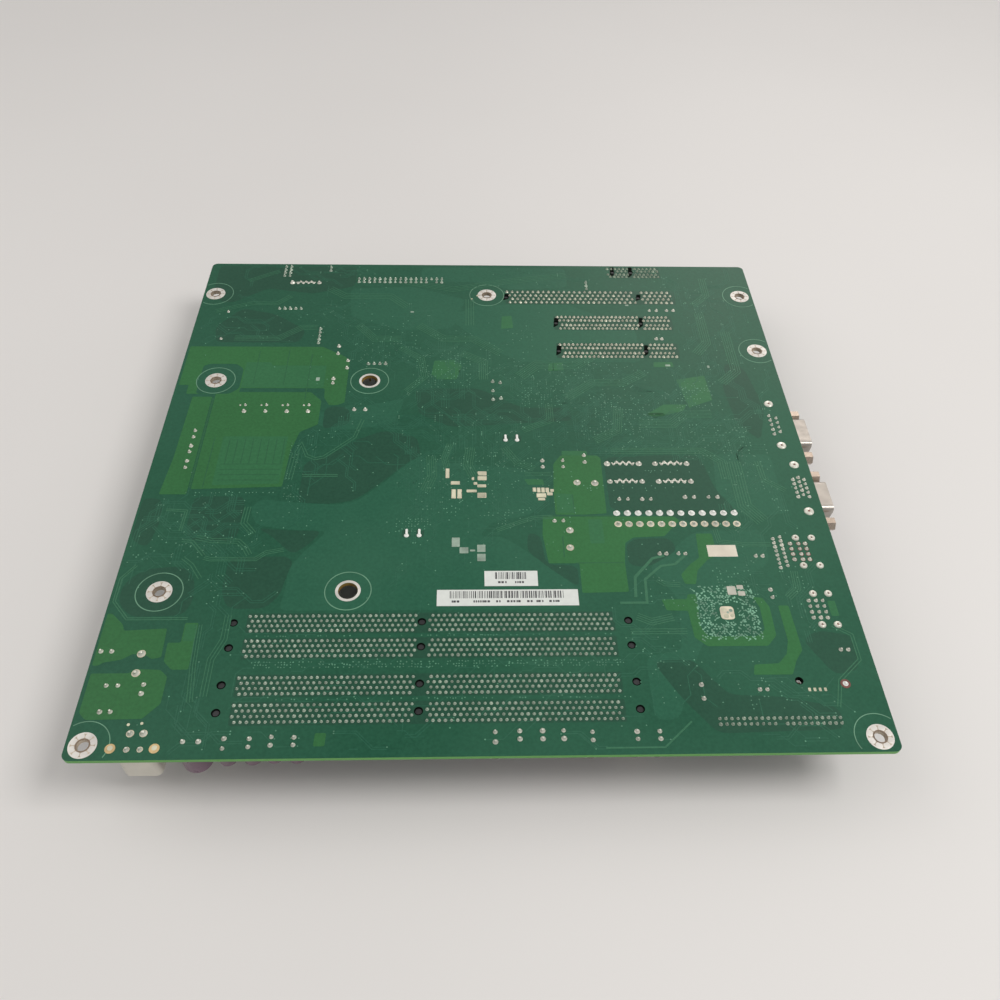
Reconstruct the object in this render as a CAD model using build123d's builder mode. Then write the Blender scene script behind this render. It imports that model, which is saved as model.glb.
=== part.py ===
"""Compact desktop motherboard, lying component side down with its solder side up.

Distances along the board are measured from its front left corner, seen from the solder side:
x runs towards the rear connectors, y runs away from the memory sockets. A depth is measured down
from the component face. The origin of the model is on the surface the board lies on, in the middle.
"""
import os

from build123d import *

os.makedirs("parts", exist_ok=True)

# ---------------------------------------------------------------- driving dimensions, mm
BOARD_LENGTH = 266.7  # along x, 10.5 in
BOARD_WIDTH = 264.16  # along y, 10.4 in
BOARD_THICK = 1.6
CORNER_RADIUS = 2.5
STACK_HEIGHT = 27.0  # the heatsink and the network port stack, which the board lies on
D_SHELL_OUT = 6.9  # how far the D-shaped shells stand past the rear edge

MOUNT_HOLE_RADIUS = 1.98
MOUNT_X = (5.6, 136.3, 260.6)
MOUNT_Y = (5.2, 198.2, 239.4)
MOUNT_HOLES = [
    (MOUNT_X[0], MOUNT_Y[0]),
    (MOUNT_X[2], MOUNT_Y[0]),
    (MOUNT_X[0], MOUNT_Y[2]),
    (MOUNT_X[1], MOUNT_Y[2]),
    (MOUNT_X[2], MOUNT_Y[2]),
    (MOUNT_X[2], MOUNT_Y[1]),
]
COOLER_Y = (64.1, 177.0)
COOLER_PLATED_X = 16.7
COOLER_PLATED_RADIUS = 2.0
COOLER_CLEAR_X = 83.8
COOLER_CLEAR_RADIUS = 3.5

DIMM_Y = (50.7, 40.54, 26.2, 16.04)
DIMM_X = 114.45  # middle of a socket
DIMM_PEG_X = (45.2, 110.8, 183.7)
DIMM_PEG_RADIUS = 1.1

PEG_RADIUS = 1.0
PEG_GAP = 0.15
PEG_LENGTH = 1.2

CPU_SOCKET = (50.2, 120.5)
CHIPSET = (125.6, 115.8)
BATTERY = (14.0, 215.5)

# ---------------------------------------------------------------- places

CENTRE_X = (BOARD_LENGTH + D_SHELL_OUT) / 2
CENTRE_Y = BOARD_WIDTH / 2


def at(x, y):
    """A point of the board, from its front left corner, in the model's own frame."""
    return (x - CENTRE_X, y - CENTRE_Y)


def below(depth):
    """The level plane at a depth under the component face."""
    return Plane.XY.offset(STACK_HEIGHT - depth)


def side_plane(x, y, depth, outward):
    """An upright plane: its first axis points outward along x, its second one down."""
    place = (*at(x, y), STACK_HEIGHT - depth)
    return Plane(origin=place, x_dir=(outward, 0, 0), z_dir=(0, outward, 0))


def rear_plane(x, y, depth):
    """An upright plane facing the rear edge: its first axis runs along y, its second one up."""
    place = (*at(x, y), STACK_HEIGHT - depth)
    return Plane(origin=place, x_dir=(0, 1, 0), z_dir=(1, 0, 0))


def save(part, name):
    """Label a finished piece and write its file."""
    part.label = name
    export_step(part, f"parts/{name}.step")


# ---------------------------------------------------------------- expansion slot sizes
# name: (x of its front end, x of its rear end, y, width, height, slot width, x of its pegs)
EDGE_SLOTS = {
    "pci_slot": (143.5, 229.0, 238.1, 8.6, 11.2, 1.9, (145.6, 210.2)),
    "pcie_x8_slot_1": (167.5, 224.1, 218.3, 7.5, 11.25, 1.8, (168.8, 209.0)),
    "pcie_x8_slot_2": (167.5, 224.1, 198.0, 7.5, 11.25, 1.8, (168.8, 209.0)),
    "pcie_x1_slot": (198.7, 224.1, 259.0, 7.5, 11.25, 1.8, (199.8, 209.0)),
}

# ---------------------------------------------------------------- circuit board
SPARE_HOLES = [(239.0, 26.0)]  # peg holes left empty
TOOLING_HOLE = (254.5, 24.7)
TOOLING_RADIUS = 0.9

peg_places = [(x, y) for y in DIMM_Y for x in DIMM_PEG_X]
slot_peg_places = [(x, slot[2]) for slot in EDGE_SLOTS.values() for x in slot[6]]

with BuildPart() as circuit_board:
    with BuildSketch(below(0)):
        with Locations(at(BOARD_LENGTH / 2, BOARD_WIDTH / 2)):
            RectangleRounded(BOARD_LENGTH, BOARD_WIDTH, CORNER_RADIUS)
        with Locations([at(x, y) for x, y in MOUNT_HOLES]):
            Circle(MOUNT_HOLE_RADIUS, mode=Mode.SUBTRACT)
        with Locations([at(COOLER_PLATED_X, y) for y in COOLER_Y]):
            Circle(COOLER_PLATED_RADIUS, mode=Mode.SUBTRACT)
        with Locations([at(COOLER_CLEAR_X, y) for y in COOLER_Y]):
            Circle(COOLER_CLEAR_RADIUS, mode=Mode.SUBTRACT)
        with Locations([at(x, y) for x, y in peg_places]):
            Circle(DIMM_PEG_RADIUS + PEG_GAP, mode=Mode.SUBTRACT)
        with Locations([at(x, y) for x, y in slot_peg_places + SPARE_HOLES]):
            Circle(PEG_RADIUS + PEG_GAP, mode=Mode.SUBTRACT)
        with Locations(at(*TOOLING_HOLE)):
            Circle(TOOLING_RADIUS, mode=Mode.SUBTRACT)
    extrude(amount=BOARD_THICK)
save(circuit_board.part, "circuit_board")

# ---------------------------------------------------------------- paper labels on the solder side
LABEL_THICK = 0.1
LABELS = [
    (142.75, 69.2, 19.5, 6.8),
    (141.3, 60.7, 51.0, 7.0),
    (222.85, 81.55, 11.1, 5.5),
]

with BuildPart() as paper_labels:
    with BuildSketch(below(-BOARD_THICK)):
        for x, y, length, width in LABELS:
            with Locations(at(x, y)):
                Rectangle(length, width)
    extrude(amount=LABEL_THICK)
save(paper_labels.part, "paper_labels")

# ---------------------------------------------------------------- processor socket
SOCKET_SIZE = 42.0
SOCKET_HEIGHT = 4.0
PACKAGE_SIZE = 38.0
PACKAGE_DEPTH = 2.6
WINDOW_SIZE = 12.0

with BuildPart() as cpu_socket_body:
    with BuildSketch(below(0)):
        with Locations(at(*CPU_SOCKET)):
            Rectangle(SOCKET_SIZE, SOCKET_SIZE)
            Rectangle(WINDOW_SIZE, WINDOW_SIZE, mode=Mode.SUBTRACT)
    extrude(amount=-SOCKET_HEIGHT)
    with BuildSketch(below(SOCKET_HEIGHT)):
        with Locations(at(*CPU_SOCKET)):
            Rectangle(PACKAGE_SIZE, PACKAGE_SIZE)
    extrude(amount=PACKAGE_DEPTH, mode=Mode.SUBTRACT)
save(cpu_socket_body.part, "cpu_socket_body")

FRAME_LENGTH = 54.0  # along x
FRAME_WIDTH = 52.0  # along y
FRAME_GAP = 0.4
FRAME_THICK = 1.2

PLATE_SIZE = 44.0
PLATE_OPENING = 33.0
PLATE_DEPTH = 4.9
PLATE_THICK = 1.2
PLATE_TRIM = 1.0  # how much shorter the plate is towards its hinge
PLATE_SHIFT = 0.4
PLATE_CORNER = 2.0
OPENING_CORNER = 3.0
HINGE_Y = 24.0  # from the middle of the socket to the load plate's hinge
HINGE_DEPTH = PLATE_DEPTH + PLATE_THICK / 2
HINGE_PIN_RADIUS = 0.8
HINGE_PIN_LENGTH = 7.0
HINGE_PIN_INSET = 3.6  # from the middle of an ear to the middle of its pin
KNUCKLE_RADIUS = 2.0
KNUCKLE_BORE = 1.1
KNUCKLE_X = 14.0
KNUCKLE_LENGTH = 5.0
KNUCKLE_TAB = 4.0
EAR_X = 17.9
EAR_THICK = 1.4
EAR_WIDTH = 3.2
EAR_DEPTH = 7.5

LEVER_RADIUS = 1.0
LEVER_Y = -24.6
LEVER_DEPTH = 3.4
LEVER_X = 28.6
LEVER_START_X = -17.0
LEVER_REACH = 20.0
LEVER_HANDLE = (3.5, 5.0, 1.0)  # how far the handle leads outward, along and down
LEVER_BEND = 2.0
BEARING_X = 14.0
BEARING_WIDTH = 3.0
BEARING_BORE = LEVER_RADIUS + 0.3
BEARING_SIZE = 4.2
BEARING_DEPTH = 5.6


def along_x(x, y, depth):
    """A place whose cylinder axis runs along x, measured from the middle of the socket."""
    px, py = at(CPU_SOCKET[0] + x, CPU_SOCKET[1] + y)
    return Location((px, py, STACK_HEIGHT - depth), (0, 90, 0))


with BuildPart() as cpu_socket_frame:
    with BuildSketch(below(0)):
        with Locations(at(*CPU_SOCKET)):
            Rectangle(FRAME_LENGTH, FRAME_WIDTH)
            Rectangle(SOCKET_SIZE + 2 * FRAME_GAP, SOCKET_SIZE + 2 * FRAME_GAP, mode=Mode.SUBTRACT)
    extrude(amount=-FRAME_THICK)
    with BuildSketch(below(0)):
        for side in (-1, 1):
            with Locations(at(CPU_SOCKET[0] + side * EAR_X, CPU_SOCKET[1] + HINGE_Y)):
                Rectangle(EAR_THICK, EAR_WIDTH)
    extrude(amount=-EAR_DEPTH)
    with BuildSketch(below(0)):
        for side in (-1, 1):
            with Locations(at(CPU_SOCKET[0] + side * BEARING_X, CPU_SOCKET[1] + LEVER_Y)):
                Rectangle(BEARING_WIDTH, BEARING_SIZE)
    extrude(amount=-BEARING_DEPTH)
    for side in (-1, 1):
        with Locations(along_x(side * BEARING_X, LEVER_Y, LEVER_DEPTH)):
            Cylinder(BEARING_BORE, 2 * BEARING_WIDTH, mode=Mode.SUBTRACT)
        with Locations(along_x(side * (EAR_X - HINGE_PIN_INSET), HINGE_Y, HINGE_DEPTH)):
            Cylinder(HINGE_PIN_RADIUS, HINGE_PIN_LENGTH)
save(cpu_socket_frame.part, "cpu_socket_frame")

with BuildPart() as cpu_load_plate:
    with BuildSketch(below(PLATE_DEPTH)):
        with Locations(at(CPU_SOCKET[0], CPU_SOCKET[1] - PLATE_SHIFT)):
            RectangleRounded(PLATE_SIZE, PLATE_SIZE - PLATE_TRIM, PLATE_CORNER)
            RectangleRounded(PLATE_OPENING, PLATE_OPENING, OPENING_CORNER, mode=Mode.SUBTRACT)
        for side in (-1, 1):
            tab_y = CPU_SOCKET[1] + HINGE_Y - KNUCKLE_TAB / 2
            with Locations(at(CPU_SOCKET[0] + side * KNUCKLE_X, tab_y)):
                Rectangle(KNUCKLE_LENGTH, KNUCKLE_TAB)
    extrude(amount=-PLATE_THICK)
    for side in (-1, 1):
        with Locations(along_x(side * KNUCKLE_X, HINGE_Y, HINGE_DEPTH)):
            Cylinder(KNUCKLE_RADIUS, KNUCKLE_LENGTH)
            Cylinder(KNUCKLE_BORE, KNUCKLE_LENGTH + 1, mode=Mode.SUBTRACT)
save(cpu_load_plate.part, "cpu_load_plate")


def socket_point(x, y, depth):
    """A point measured from the middle of the processor socket."""
    return (*at(CPU_SOCKET[0] + x, CPU_SOCKET[1] + y), STACK_HEIGHT - depth)


with BuildPart() as cpu_load_lever:
    with BuildLine() as lever_line:
        FilletPolyline(
            socket_point(LEVER_START_X, LEVER_Y, LEVER_DEPTH),
            socket_point(LEVER_X, LEVER_Y, LEVER_DEPTH),
            socket_point(LEVER_X, LEVER_REACH, LEVER_DEPTH),
            socket_point(
                LEVER_X + LEVER_HANDLE[0], LEVER_REACH + LEVER_HANDLE[1], LEVER_DEPTH + LEVER_HANDLE[2]
            ),
            radius=LEVER_BEND,
        )
    with BuildSketch(Plane(origin=lever_line.line @ 0, z_dir=lever_line.line % 0)):
        Circle(LEVER_RADIUS)
    sweep(path=lever_line.line)
save(cpu_load_lever.part, "cpu_load_lever")

# ---------------------------------------------------------------- memory sockets and latches
DIMM_BODY_LENGTH = 134.5
DIMM_BODY_WIDTH = 6.4
DIMM_BODY_HEIGHT = 9.6
DIMM_SLOT_WIDTH = 1.6
DIMM_SLOT_FLOOR = 2.6
DIMM_KEY_WIDTH = 1.4
TOWER_LENGTH = 7.6
TOWER_WIDTH = 7.0
TOWER_HEIGHT = 15.0
CHANNEL_WIDTH = 3.8
CHANNEL_FLOOR = 1.2
PIVOT_X = 70.95  # from the middle of the socket
PIVOT_DEPTH = 4.0
PIVOT_RADIUS = 0.9
PIVOT_BORE = 1.2
PIVOT_PIN = 0.9  # how far each pivot pin stands out of the latch
TOWER_X = 70.0  # middle of a tower, from the middle of the socket
LATCH_THICK = 3.0

# side view of a latch from its pivot: outward along the socket, and down
LATCH_PROFILE = [
    (1.9, -1.6),
    (1.9, 14.6),
    (5.0, 15.6),
    (5.0, 17.8),
    (-1.2, 17.8),
    (-1.4, 14.6),
    (-4.4, 13.2),
    (-4.4, 12.2),
    (-1.4, 11.2),
    (-1.4, 1.4),
    (-4.2, 1.2),
    (-4.2, -0.8),
    (-1.4, -1.6),
]


def make_dimm_socket(y):
    """One memory socket: slotted body, an end tower for each latch, and three pegs."""
    slot_half = DIMM_BODY_LENGTH / 2
    key = DIMM_PEG_X[1] - DIMM_X
    front_part = slot_half + key - DIMM_KEY_WIDTH / 2
    rear_part = slot_half - key - DIMM_KEY_WIDTH / 2
    with BuildPart() as socket:
        with BuildSketch(below(0)):
            with Locations(at(DIMM_X, y)):
                Rectangle(DIMM_BODY_LENGTH, DIMM_BODY_WIDTH)
        extrude(amount=-DIMM_BODY_HEIGHT)
        with BuildSketch(below(0)):
            with Locations([at(DIMM_X + side * TOWER_X, y) for side in (-1, 1)]):
                Rectangle(TOWER_LENGTH, TOWER_WIDTH)
        extrude(amount=-TOWER_HEIGHT)
        with BuildSketch(below(DIMM_SLOT_FLOOR)):
            with Locations(at(DIMM_X - slot_half + front_part / 2, y)):
                Rectangle(front_part, DIMM_SLOT_WIDTH)
            with Locations(at(DIMM_X + slot_half - rear_part / 2, y)):
                Rectangle(rear_part, DIMM_SLOT_WIDTH)
        extrude(amount=-TOWER_HEIGHT, mode=Mode.SUBTRACT)
        with BuildSketch(below(CHANNEL_FLOOR)):
            with Locations([at(DIMM_X + side * TOWER_X, y) for side in (-1, 1)]):
                Rectangle(TOWER_LENGTH + 1, CHANNEL_WIDTH)
        extrude(amount=-TOWER_HEIGHT, mode=Mode.SUBTRACT)
        for side in (-1, 1):
            pivot = (*at(DIMM_X + side * PIVOT_X, y), STACK_HEIGHT - PIVOT_DEPTH)
            with Locations(Location(pivot, (90, 0, 0))):
                Cylinder(PIVOT_BORE, TOWER_WIDTH + 1, mode=Mode.SUBTRACT)
        with BuildSketch(below(0)):
            with Locations([at(x, y) for x in DIMM_PEG_X]):
                Circle(DIMM_PEG_RADIUS)
        extrude(amount=PEG_LENGTH)
    return socket.part


def make_dimm_latch(y, outward):
    """One memory latch: arm, thumb tab, module hook, ejector foot and two pivot pins."""
    pivot_plane = side_plane(DIMM_X + outward * PIVOT_X, y, PIVOT_DEPTH, outward)
    with BuildPart() as latch:
        with BuildSketch(pivot_plane):
            with BuildLine():
                Polyline(*LATCH_PROFILE, close=True)
            make_face()
        extrude(amount=LATCH_THICK / 2, both=True)
        with BuildSketch(pivot_plane):
            Circle(PIVOT_RADIUS)
        extrude(amount=LATCH_THICK / 2 + PIVOT_PIN, both=True)
    return latch.part


for number, socket_y in enumerate(DIMM_Y, start=1):
    save(make_dimm_socket(socket_y), f"dimm_socket_{number}")
    save(make_dimm_latch(socket_y, -1), f"dimm_latch_{number}_front")
    save(make_dimm_latch(socket_y, 1), f"dimm_latch_{number}_rear")

# ---------------------------------------------------------------- expansion slots
EDGE_SLOT_FLOOR = 3.0
EDGE_KEY_WIDTH = 1.8
EDGE_WALL = 1.6
EDGE_CORNER = 0.8


def make_edge_slot(front, rear, y, width, height, slot_width, pegs):
    """One expansion slot: a long housing with its card slot, a key and two pegs."""
    key = pegs[1]
    with BuildPart() as slot:
        with BuildSketch(below(0)):
            with Locations(at((front + rear) / 2, y)):
                RectangleRounded(rear - front, width, EDGE_CORNER)
        extrude(amount=-height)
        with BuildSketch(below(EDGE_SLOT_FLOOR)):
            for start, end in ((front + EDGE_WALL, key - EDGE_KEY_WIDTH / 2),
                               (key + EDGE_KEY_WIDTH / 2, rear - EDGE_WALL)):
                with Locations(at((start + end) / 2, y)):
                    Rectangle(end - start, slot_width)
        extrude(amount=-height, mode=Mode.SUBTRACT)
        with BuildSketch(below(0)):
            with Locations([at(x, y) for x in pegs]):
                Circle(PEG_RADIUS)
        extrude(amount=PEG_LENGTH)
    return slot.part


for slot_name, slot_sizes in EDGE_SLOTS.items():
    save(make_edge_slot(*slot_sizes), slot_name)

# ---------------------------------------------------------------- chipset, heatsink and clip
CHIPSET_SIZE = 34.0
SUBSTRATE_THICK = 1.5
DIE_SIZE = 11.0
CHIPSET_HEIGHT = 2.4
HEATSINK_SIZE = 38.0
HEATSINK_BASE = 3.2
FIN_COUNT = 13
FIN_THICK = 1.0
GROOVE_WIDTH = 2.6
CLIP_DEPTH = CHIPSET_HEIGHT + HEATSINK_BASE + 1.0
CLIP_RADIUS = 0.8
CLIP_HOOK_DEPTH = 3.2
CLIP_OVERHANG = 1.5  # how far each end stands past its anchor
CLIP_SHOULDER = 4.0  # from an anchor to where the wire steps down to the heatsink
CLIP_BEND = 1.2
ANCHOR_RADIUS = 0.55
ANCHOR_DEPTH = 5.0
ANCHOR_SPAN = 5.1
ANCHORS = [(106.1, 90.4), (145.1, 141.2)]

with BuildPart() as chipset_package:
    with BuildSketch(below(0)):
        with Locations(at(*CHIPSET)):
            Rectangle(CHIPSET_SIZE, CHIPSET_SIZE)
    extrude(amount=-SUBSTRATE_THICK)
    with BuildSketch(below(0)):
        with Locations(at(*CHIPSET)):
            Rectangle(DIE_SIZE, DIE_SIZE)
    extrude(amount=-CHIPSET_HEIGHT)
save(chipset_package.part, "chipset_package")

clip_run = Vector(*ANCHORS[1]) - Vector(*ANCHORS[0])
clip_angle = Vector(1, 0).get_signed_angle(clip_run)
fin_pitch = (HEATSINK_SIZE - FIN_THICK) / (FIN_COUNT - 1)

with BuildPart() as chipset_heatsink:
    with BuildSketch(below(CHIPSET_HEIGHT)):
        with Locations(at(*CHIPSET)):
            Rectangle(HEATSINK_SIZE, HEATSINK_SIZE)
    extrude(amount=-HEATSINK_BASE)
    with BuildSketch(below(CHIPSET_HEIGHT)):
        with Locations(at(*CHIPSET)):
            with GridLocations(0, fin_pitch, 1, FIN_COUNT):
                Rectangle(HEATSINK_SIZE, FIN_THICK)
    extrude(amount=-(STACK_HEIGHT - CHIPSET_HEIGHT))
    with BuildSketch(below(CHIPSET_HEIGHT + HEATSINK_BASE)):
        with Locations(at(*CHIPSET)):
            Rectangle(2 * HEATSINK_SIZE, GROOVE_WIDTH, rotation=abs(clip_angle))
    extrude(amount=-STACK_HEIGHT, mode=Mode.SUBTRACT)
save(chipset_heatsink.part, "chipset_heatsink")

with BuildPart() as heatsink_clip:
    inward = clip_run.normalized()
    first = Vector(*ANCHORS[0]) - inward * CLIP_OVERHANG
    second = Vector(*ANCHORS[0]) + inward * CLIP_SHOULDER
    third = Vector(*ANCHORS[1]) - inward * CLIP_SHOULDER
    fourth = Vector(*ANCHORS[1]) + inward * CLIP_OVERHANG
    with BuildLine() as clip_line:
        FilletPolyline(
            (*at(first.X, first.Y), STACK_HEIGHT - CLIP_HOOK_DEPTH),
            (*at(second.X, second.Y), STACK_HEIGHT - CLIP_HOOK_DEPTH),
            (*at(second.X + inward.X, second.Y + inward.Y), STACK_HEIGHT - CLIP_DEPTH),
            (*at(third.X - inward.X, third.Y - inward.Y), STACK_HEIGHT - CLIP_DEPTH),
            (*at(third.X, third.Y), STACK_HEIGHT - CLIP_HOOK_DEPTH),
            (*at(fourth.X, fourth.Y), STACK_HEIGHT - CLIP_HOOK_DEPTH),
            radius=CLIP_BEND,
        )
    with BuildSketch(Plane(origin=clip_line.line @ 0, z_dir=clip_line.line % 0)):
        Circle(CLIP_RADIUS)
    sweep(path=clip_line.line)
save(heatsink_clip.part, "heatsink_clip")

with BuildPart() as heatsink_anchors:
    for x, y in ANCHORS:
        with BuildSketch(below(0)):
            with Locations(at(x, y)):
                with GridLocations(ANCHOR_SPAN, 0, 2, 1):
                    Circle(ANCHOR_RADIUS)
        extrude(amount=-ANCHOR_DEPTH)
        with Locations(Location((*at(x, y), STACK_HEIGHT - ANCHOR_DEPTH), (0, 90, 0))):
            Cylinder(ANCHOR_RADIUS, ANCHOR_SPAN + 2 * ANCHOR_RADIUS)
save(heatsink_anchors.part, "heatsink_anchors")

# ---------------------------------------------------------------- chips
# name: (places, length, width, height, bevel)
CHIPS = {
    "southbridge_package": ([(220.0, 53.5)], 27.0, 27.0, 2.2, 0.5),
    "super_io_chip": ([(116.5, 184.5)], 20.0, 14.0, 2.6, 0.4),
    "network_chip": ([(225.0, 168.5)], 14.0, 14.0, 1.6, 0.3),
    "small_chips": (
        [(161.0, 169.5), (231.0, 140.0), (100.0, 221.0), (118.0, 209.0), (184.0, 146.0)],
        9.0, 7.0, 1.5, 0.2,
    ),
}


def make_chip(places, length, width, height, edge):
    """Moulded chips of one size, with bevelled lower edges."""
    with BuildPart() as chip:
        for x, y in places:
            with BuildSketch(below(0)):
                with Locations(at(x, y)):
                    Rectangle(length, width)
            extrude(amount=-height)
        chamfer(chip.faces().group_by(Axis.Z)[0].edges(), edge)
    return chip.part


for chip_name, chip_sizes in CHIPS.items():
    save(make_chip(*chip_sizes), chip_name)

CRYSTAL = (138.0, 167.8)
CRYSTAL_BASE = (11.2, 4.7, 0.5)  # length, width and height of its foot
CRYSTAL_CAN = (10.2, 3.8, 3.5)
with BuildPart() as crystal:
    with BuildSketch(below(0)):
        with Locations(at(*CRYSTAL)):
            SlotOverall(CRYSTAL_BASE[0], CRYSTAL_BASE[1], rotation=90)
    extrude(amount=-CRYSTAL_BASE[2])
    with BuildSketch(below(0)):
        with Locations(at(*CRYSTAL)):
            SlotOverall(CRYSTAL_CAN[0], CRYSTAL_CAN[1], rotation=90)
    extrude(amount=-CRYSTAL_CAN[2])
save(crystal.part, "crystal")

# ---------------------------------------------------------------- power connectors
CELL_PITCH = 4.2
CELL_SIZE = 3.5
PIN_FLOOR = 2.0
PLUG_DEPTH = 12.8
CONTACT_SIZE = 1.1
CONTACT_LENGTH = 8.0
RAMP_LENGTH = 3.0  # the ramp that a plug's latch hooks over
RAMP_OUT = 1.2
RAMP_HEIGHT = 3.0
RAMP_DEPTH = 7.8


def make_power_connector(x, y, columns, length, width, corner):
    """A power socket: a block with one square cell for each contact, and a latch ramp."""
    with BuildPart() as connector:
        with BuildSketch(below(0)):
            with Locations(at(x, y)):
                RectangleRounded(length, width, corner)
        extrude(amount=-PLUG_DEPTH)
        with BuildSketch(below(PIN_FLOOR)):
            with Locations(at(x, y)):
                with GridLocations(CELL_PITCH, CELL_PITCH, columns, 2):
                    Rectangle(CELL_SIZE, CELL_SIZE)
        extrude(amount=-PLUG_DEPTH, mode=Mode.SUBTRACT)
        with BuildSketch(below(RAMP_DEPTH)):
            with Locations(at(x, y + (width + RAMP_OUT) / 2)):
                Rectangle(RAMP_LENGTH, RAMP_OUT)
        extrude(amount=-RAMP_HEIGHT)
    return connector.part


def make_power_pins(x, y, columns):
    """The square contact pins of a power socket, standing on the floors of its cells."""
    with BuildPart() as pins:
        with BuildSketch(below(PIN_FLOOR)):
            with Locations(at(x, y)):
                with GridLocations(CELL_PITCH, CELL_PITCH, columns, 2):
                    Rectangle(CONTACT_SIZE, CONTACT_SIZE)
        extrude(amount=-CONTACT_LENGTH)
    return pins.part


# x, y and columns of contacts of each, and the length, width and corner radius of its block
MAIN_POWER = (208.0, 97.55, 12)
MAIN_POWER_BLOCK = (51.6, 9.6, 0.6)
CPU_POWER = (21.7, 6.3, 2)
CPU_POWER_BLOCK = (12.4, 9.8, 2.2)
save(make_power_connector(*MAIN_POWER, *MAIN_POWER_BLOCK), "main_power_connector")
save(make_power_pins(*MAIN_POWER), "main_power_pins")
save(make_power_connector(*CPU_POWER, *CPU_POWER_BLOCK), "cpu_power_connector")
save(make_power_pins(*CPU_POWER), "cpu_power_pins")

# ---------------------------------------------------------------- power parts
CHOKES = [(26.0, 183.0), (39.0, 183.0), (52.0, 183.0)]
CHOKE_SIZE = 10.5
CHOKE_HEIGHT = 7.5
CHOKE_CORNER = 1.0
MOSFET_BODY = (6.5, 6.1, 2.3)  # length, width and height
MOSFET_TAB = (5.2, 1.4, 0.5)
MOSFET_TAB_Y = 3.6  # from the middle of the body to the middle of its tab
MOSFETS = [(x, 170.0) for x in (22.0, 31.0, 40.0, 49.0, 58.0)]

with BuildPart() as processor_chokes:
    with BuildSketch(below(0)):
        with Locations([at(x, y) for x, y in CHOKES]):
            RectangleRounded(CHOKE_SIZE, CHOKE_SIZE, CHOKE_CORNER)
    extrude(amount=-CHOKE_HEIGHT)
save(processor_chokes.part, "processor_chokes")

with BuildPart() as processor_mosfets:
    with BuildSketch(below(0)):
        with Locations([at(x, y) for x, y in MOSFETS]):
            Rectangle(MOSFET_BODY[0], MOSFET_BODY[1])
    extrude(amount=-MOSFET_BODY[2])
    with BuildSketch(below(0)):
        with Locations([at(x, y + MOSFET_TAB_Y) for x, y in MOSFETS]):
            Rectangle(MOSFET_TAB[0], MOSFET_TAB[1])
    extrude(amount=-MOSFET_TAB[2])
save(processor_mosfets.part, "processor_mosfets")

INDUCTORS = [(16.2, 34.8), (174.2, 116.2), (165.8, 87.5)]
DRUM_RADIUS = 5.0
DRUM_WAIST = 4.0
DRUM_HEIGHT = 9.8
DRUM_RIM = 1.2
with BuildPart() as filter_inductors:
    for depth, radius, height in (
        (0, DRUM_RADIUS, DRUM_RIM),
        (0, DRUM_WAIST, DRUM_HEIGHT),
        (DRUM_HEIGHT - DRUM_RIM, DRUM_RADIUS, DRUM_RIM),
    ):
        with BuildSketch(below(depth)):
            with Locations([at(x, y) for x, y in INDUCTORS]):
                Circle(radius)
        extrude(amount=-height)
save(filter_inductors.part, "filter_inductors")

# radius and height of each size of capacitor, and where each one stands
CAPACITORS = {
    (5.0, 11.0): [(39.1, 6.1), (80.8, 158.5), (68.3, 197.8)],
    (4.0, 9.0): [(32.0, 159.5), (41.0, 159.5), (50.0, 159.5), (59.0, 159.5), (13.8, 143.9),
                 (13.8, 135.2), (13.8, 126.6), (157.4, 126.7), (165.7, 126.7), (174.7, 129.5),
                 (188.4, 107.5), (197.5, 107.5), (214.8, 108.5), (224.2, 108.5), (4.4, 39.5),
                 (9.5, 26.4), (216.1, 227.7), (224.4, 227.9), (205.4, 22.2), (73.2, 187.9)],
    (3.15, 8.0): [(67.8, 176.7), (19.7, 25.0), (9.6, 16.8), (49.4, 5.3), (57.4, 5.5), (64.3, 6.0),
                  (71.5, 5.9), (135.7, 6.6), (143.6, 7.2), (151.0, 7.2), (157.8, 7.2), (167.1, 6.6),
                  (181.6, 6.7), (189.0, 6.7), (162.1, 96.5), (200.2, 80.3), (207.4, 80.3),
                  (236.5, 79.0), (237.4, 61.9), (257.8, 38.0), (226.1, 22.8), (216.2, 206.5)],
}
RIM_CHAMFER = 0.5

with BuildPart() as capacitor_cans:
    for (radius, height), places in CAPACITORS.items():
        with BuildSketch(below(0)):
            with Locations([at(x, y) for x, y in places]):
                Circle(radius)
        extrude(amount=-height)
        chamfer(capacitor_cans.faces().filter_by(Plane.XY).group_by(Axis.Z)[0].edges(), RIM_CHAMFER)
save(capacitor_cans.part, "capacitor_cans")

# ---------------------------------------------------------------- drive and ribbon connectors
SATA_PORTS = [(190.3, 126.7), (210.0, 126.7), (190.5, 116.9), (210.2, 116.9), (47.8, 248.6)]
SATA_LENGTH = 16.4
SATA_WIDTH = 6.2
SATA_HEIGHT = 8.4
SATA_FLOOR = 2.4
SATA_CORNER = 0.6
SATA_MOUTH = (12.4, 3.6)
SATA_TONGUE = (10.4, 1.2)
SATA_TONGUE_Y = 0.6

with BuildPart() as sata_ports:
    for x, y in SATA_PORTS:
        with BuildSketch(below(0)):
            with Locations(at(x, y)):
                RectangleRounded(SATA_LENGTH, SATA_WIDTH, SATA_CORNER)
        extrude(amount=-SATA_HEIGHT)
        with BuildSketch(below(SATA_FLOOR)):
            with Locations(at(x, y)):
                Rectangle(*SATA_MOUTH)
            with Locations(at(x, y + SATA_TONGUE_Y)):
                Rectangle(*SATA_TONGUE, mode=Mode.SUBTRACT)
        extrude(amount=-SATA_HEIGHT, mode=Mode.SUBTRACT)
save(sata_ports.part, "sata_ports")


SHROUD_FLOOR = 2.4


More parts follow.
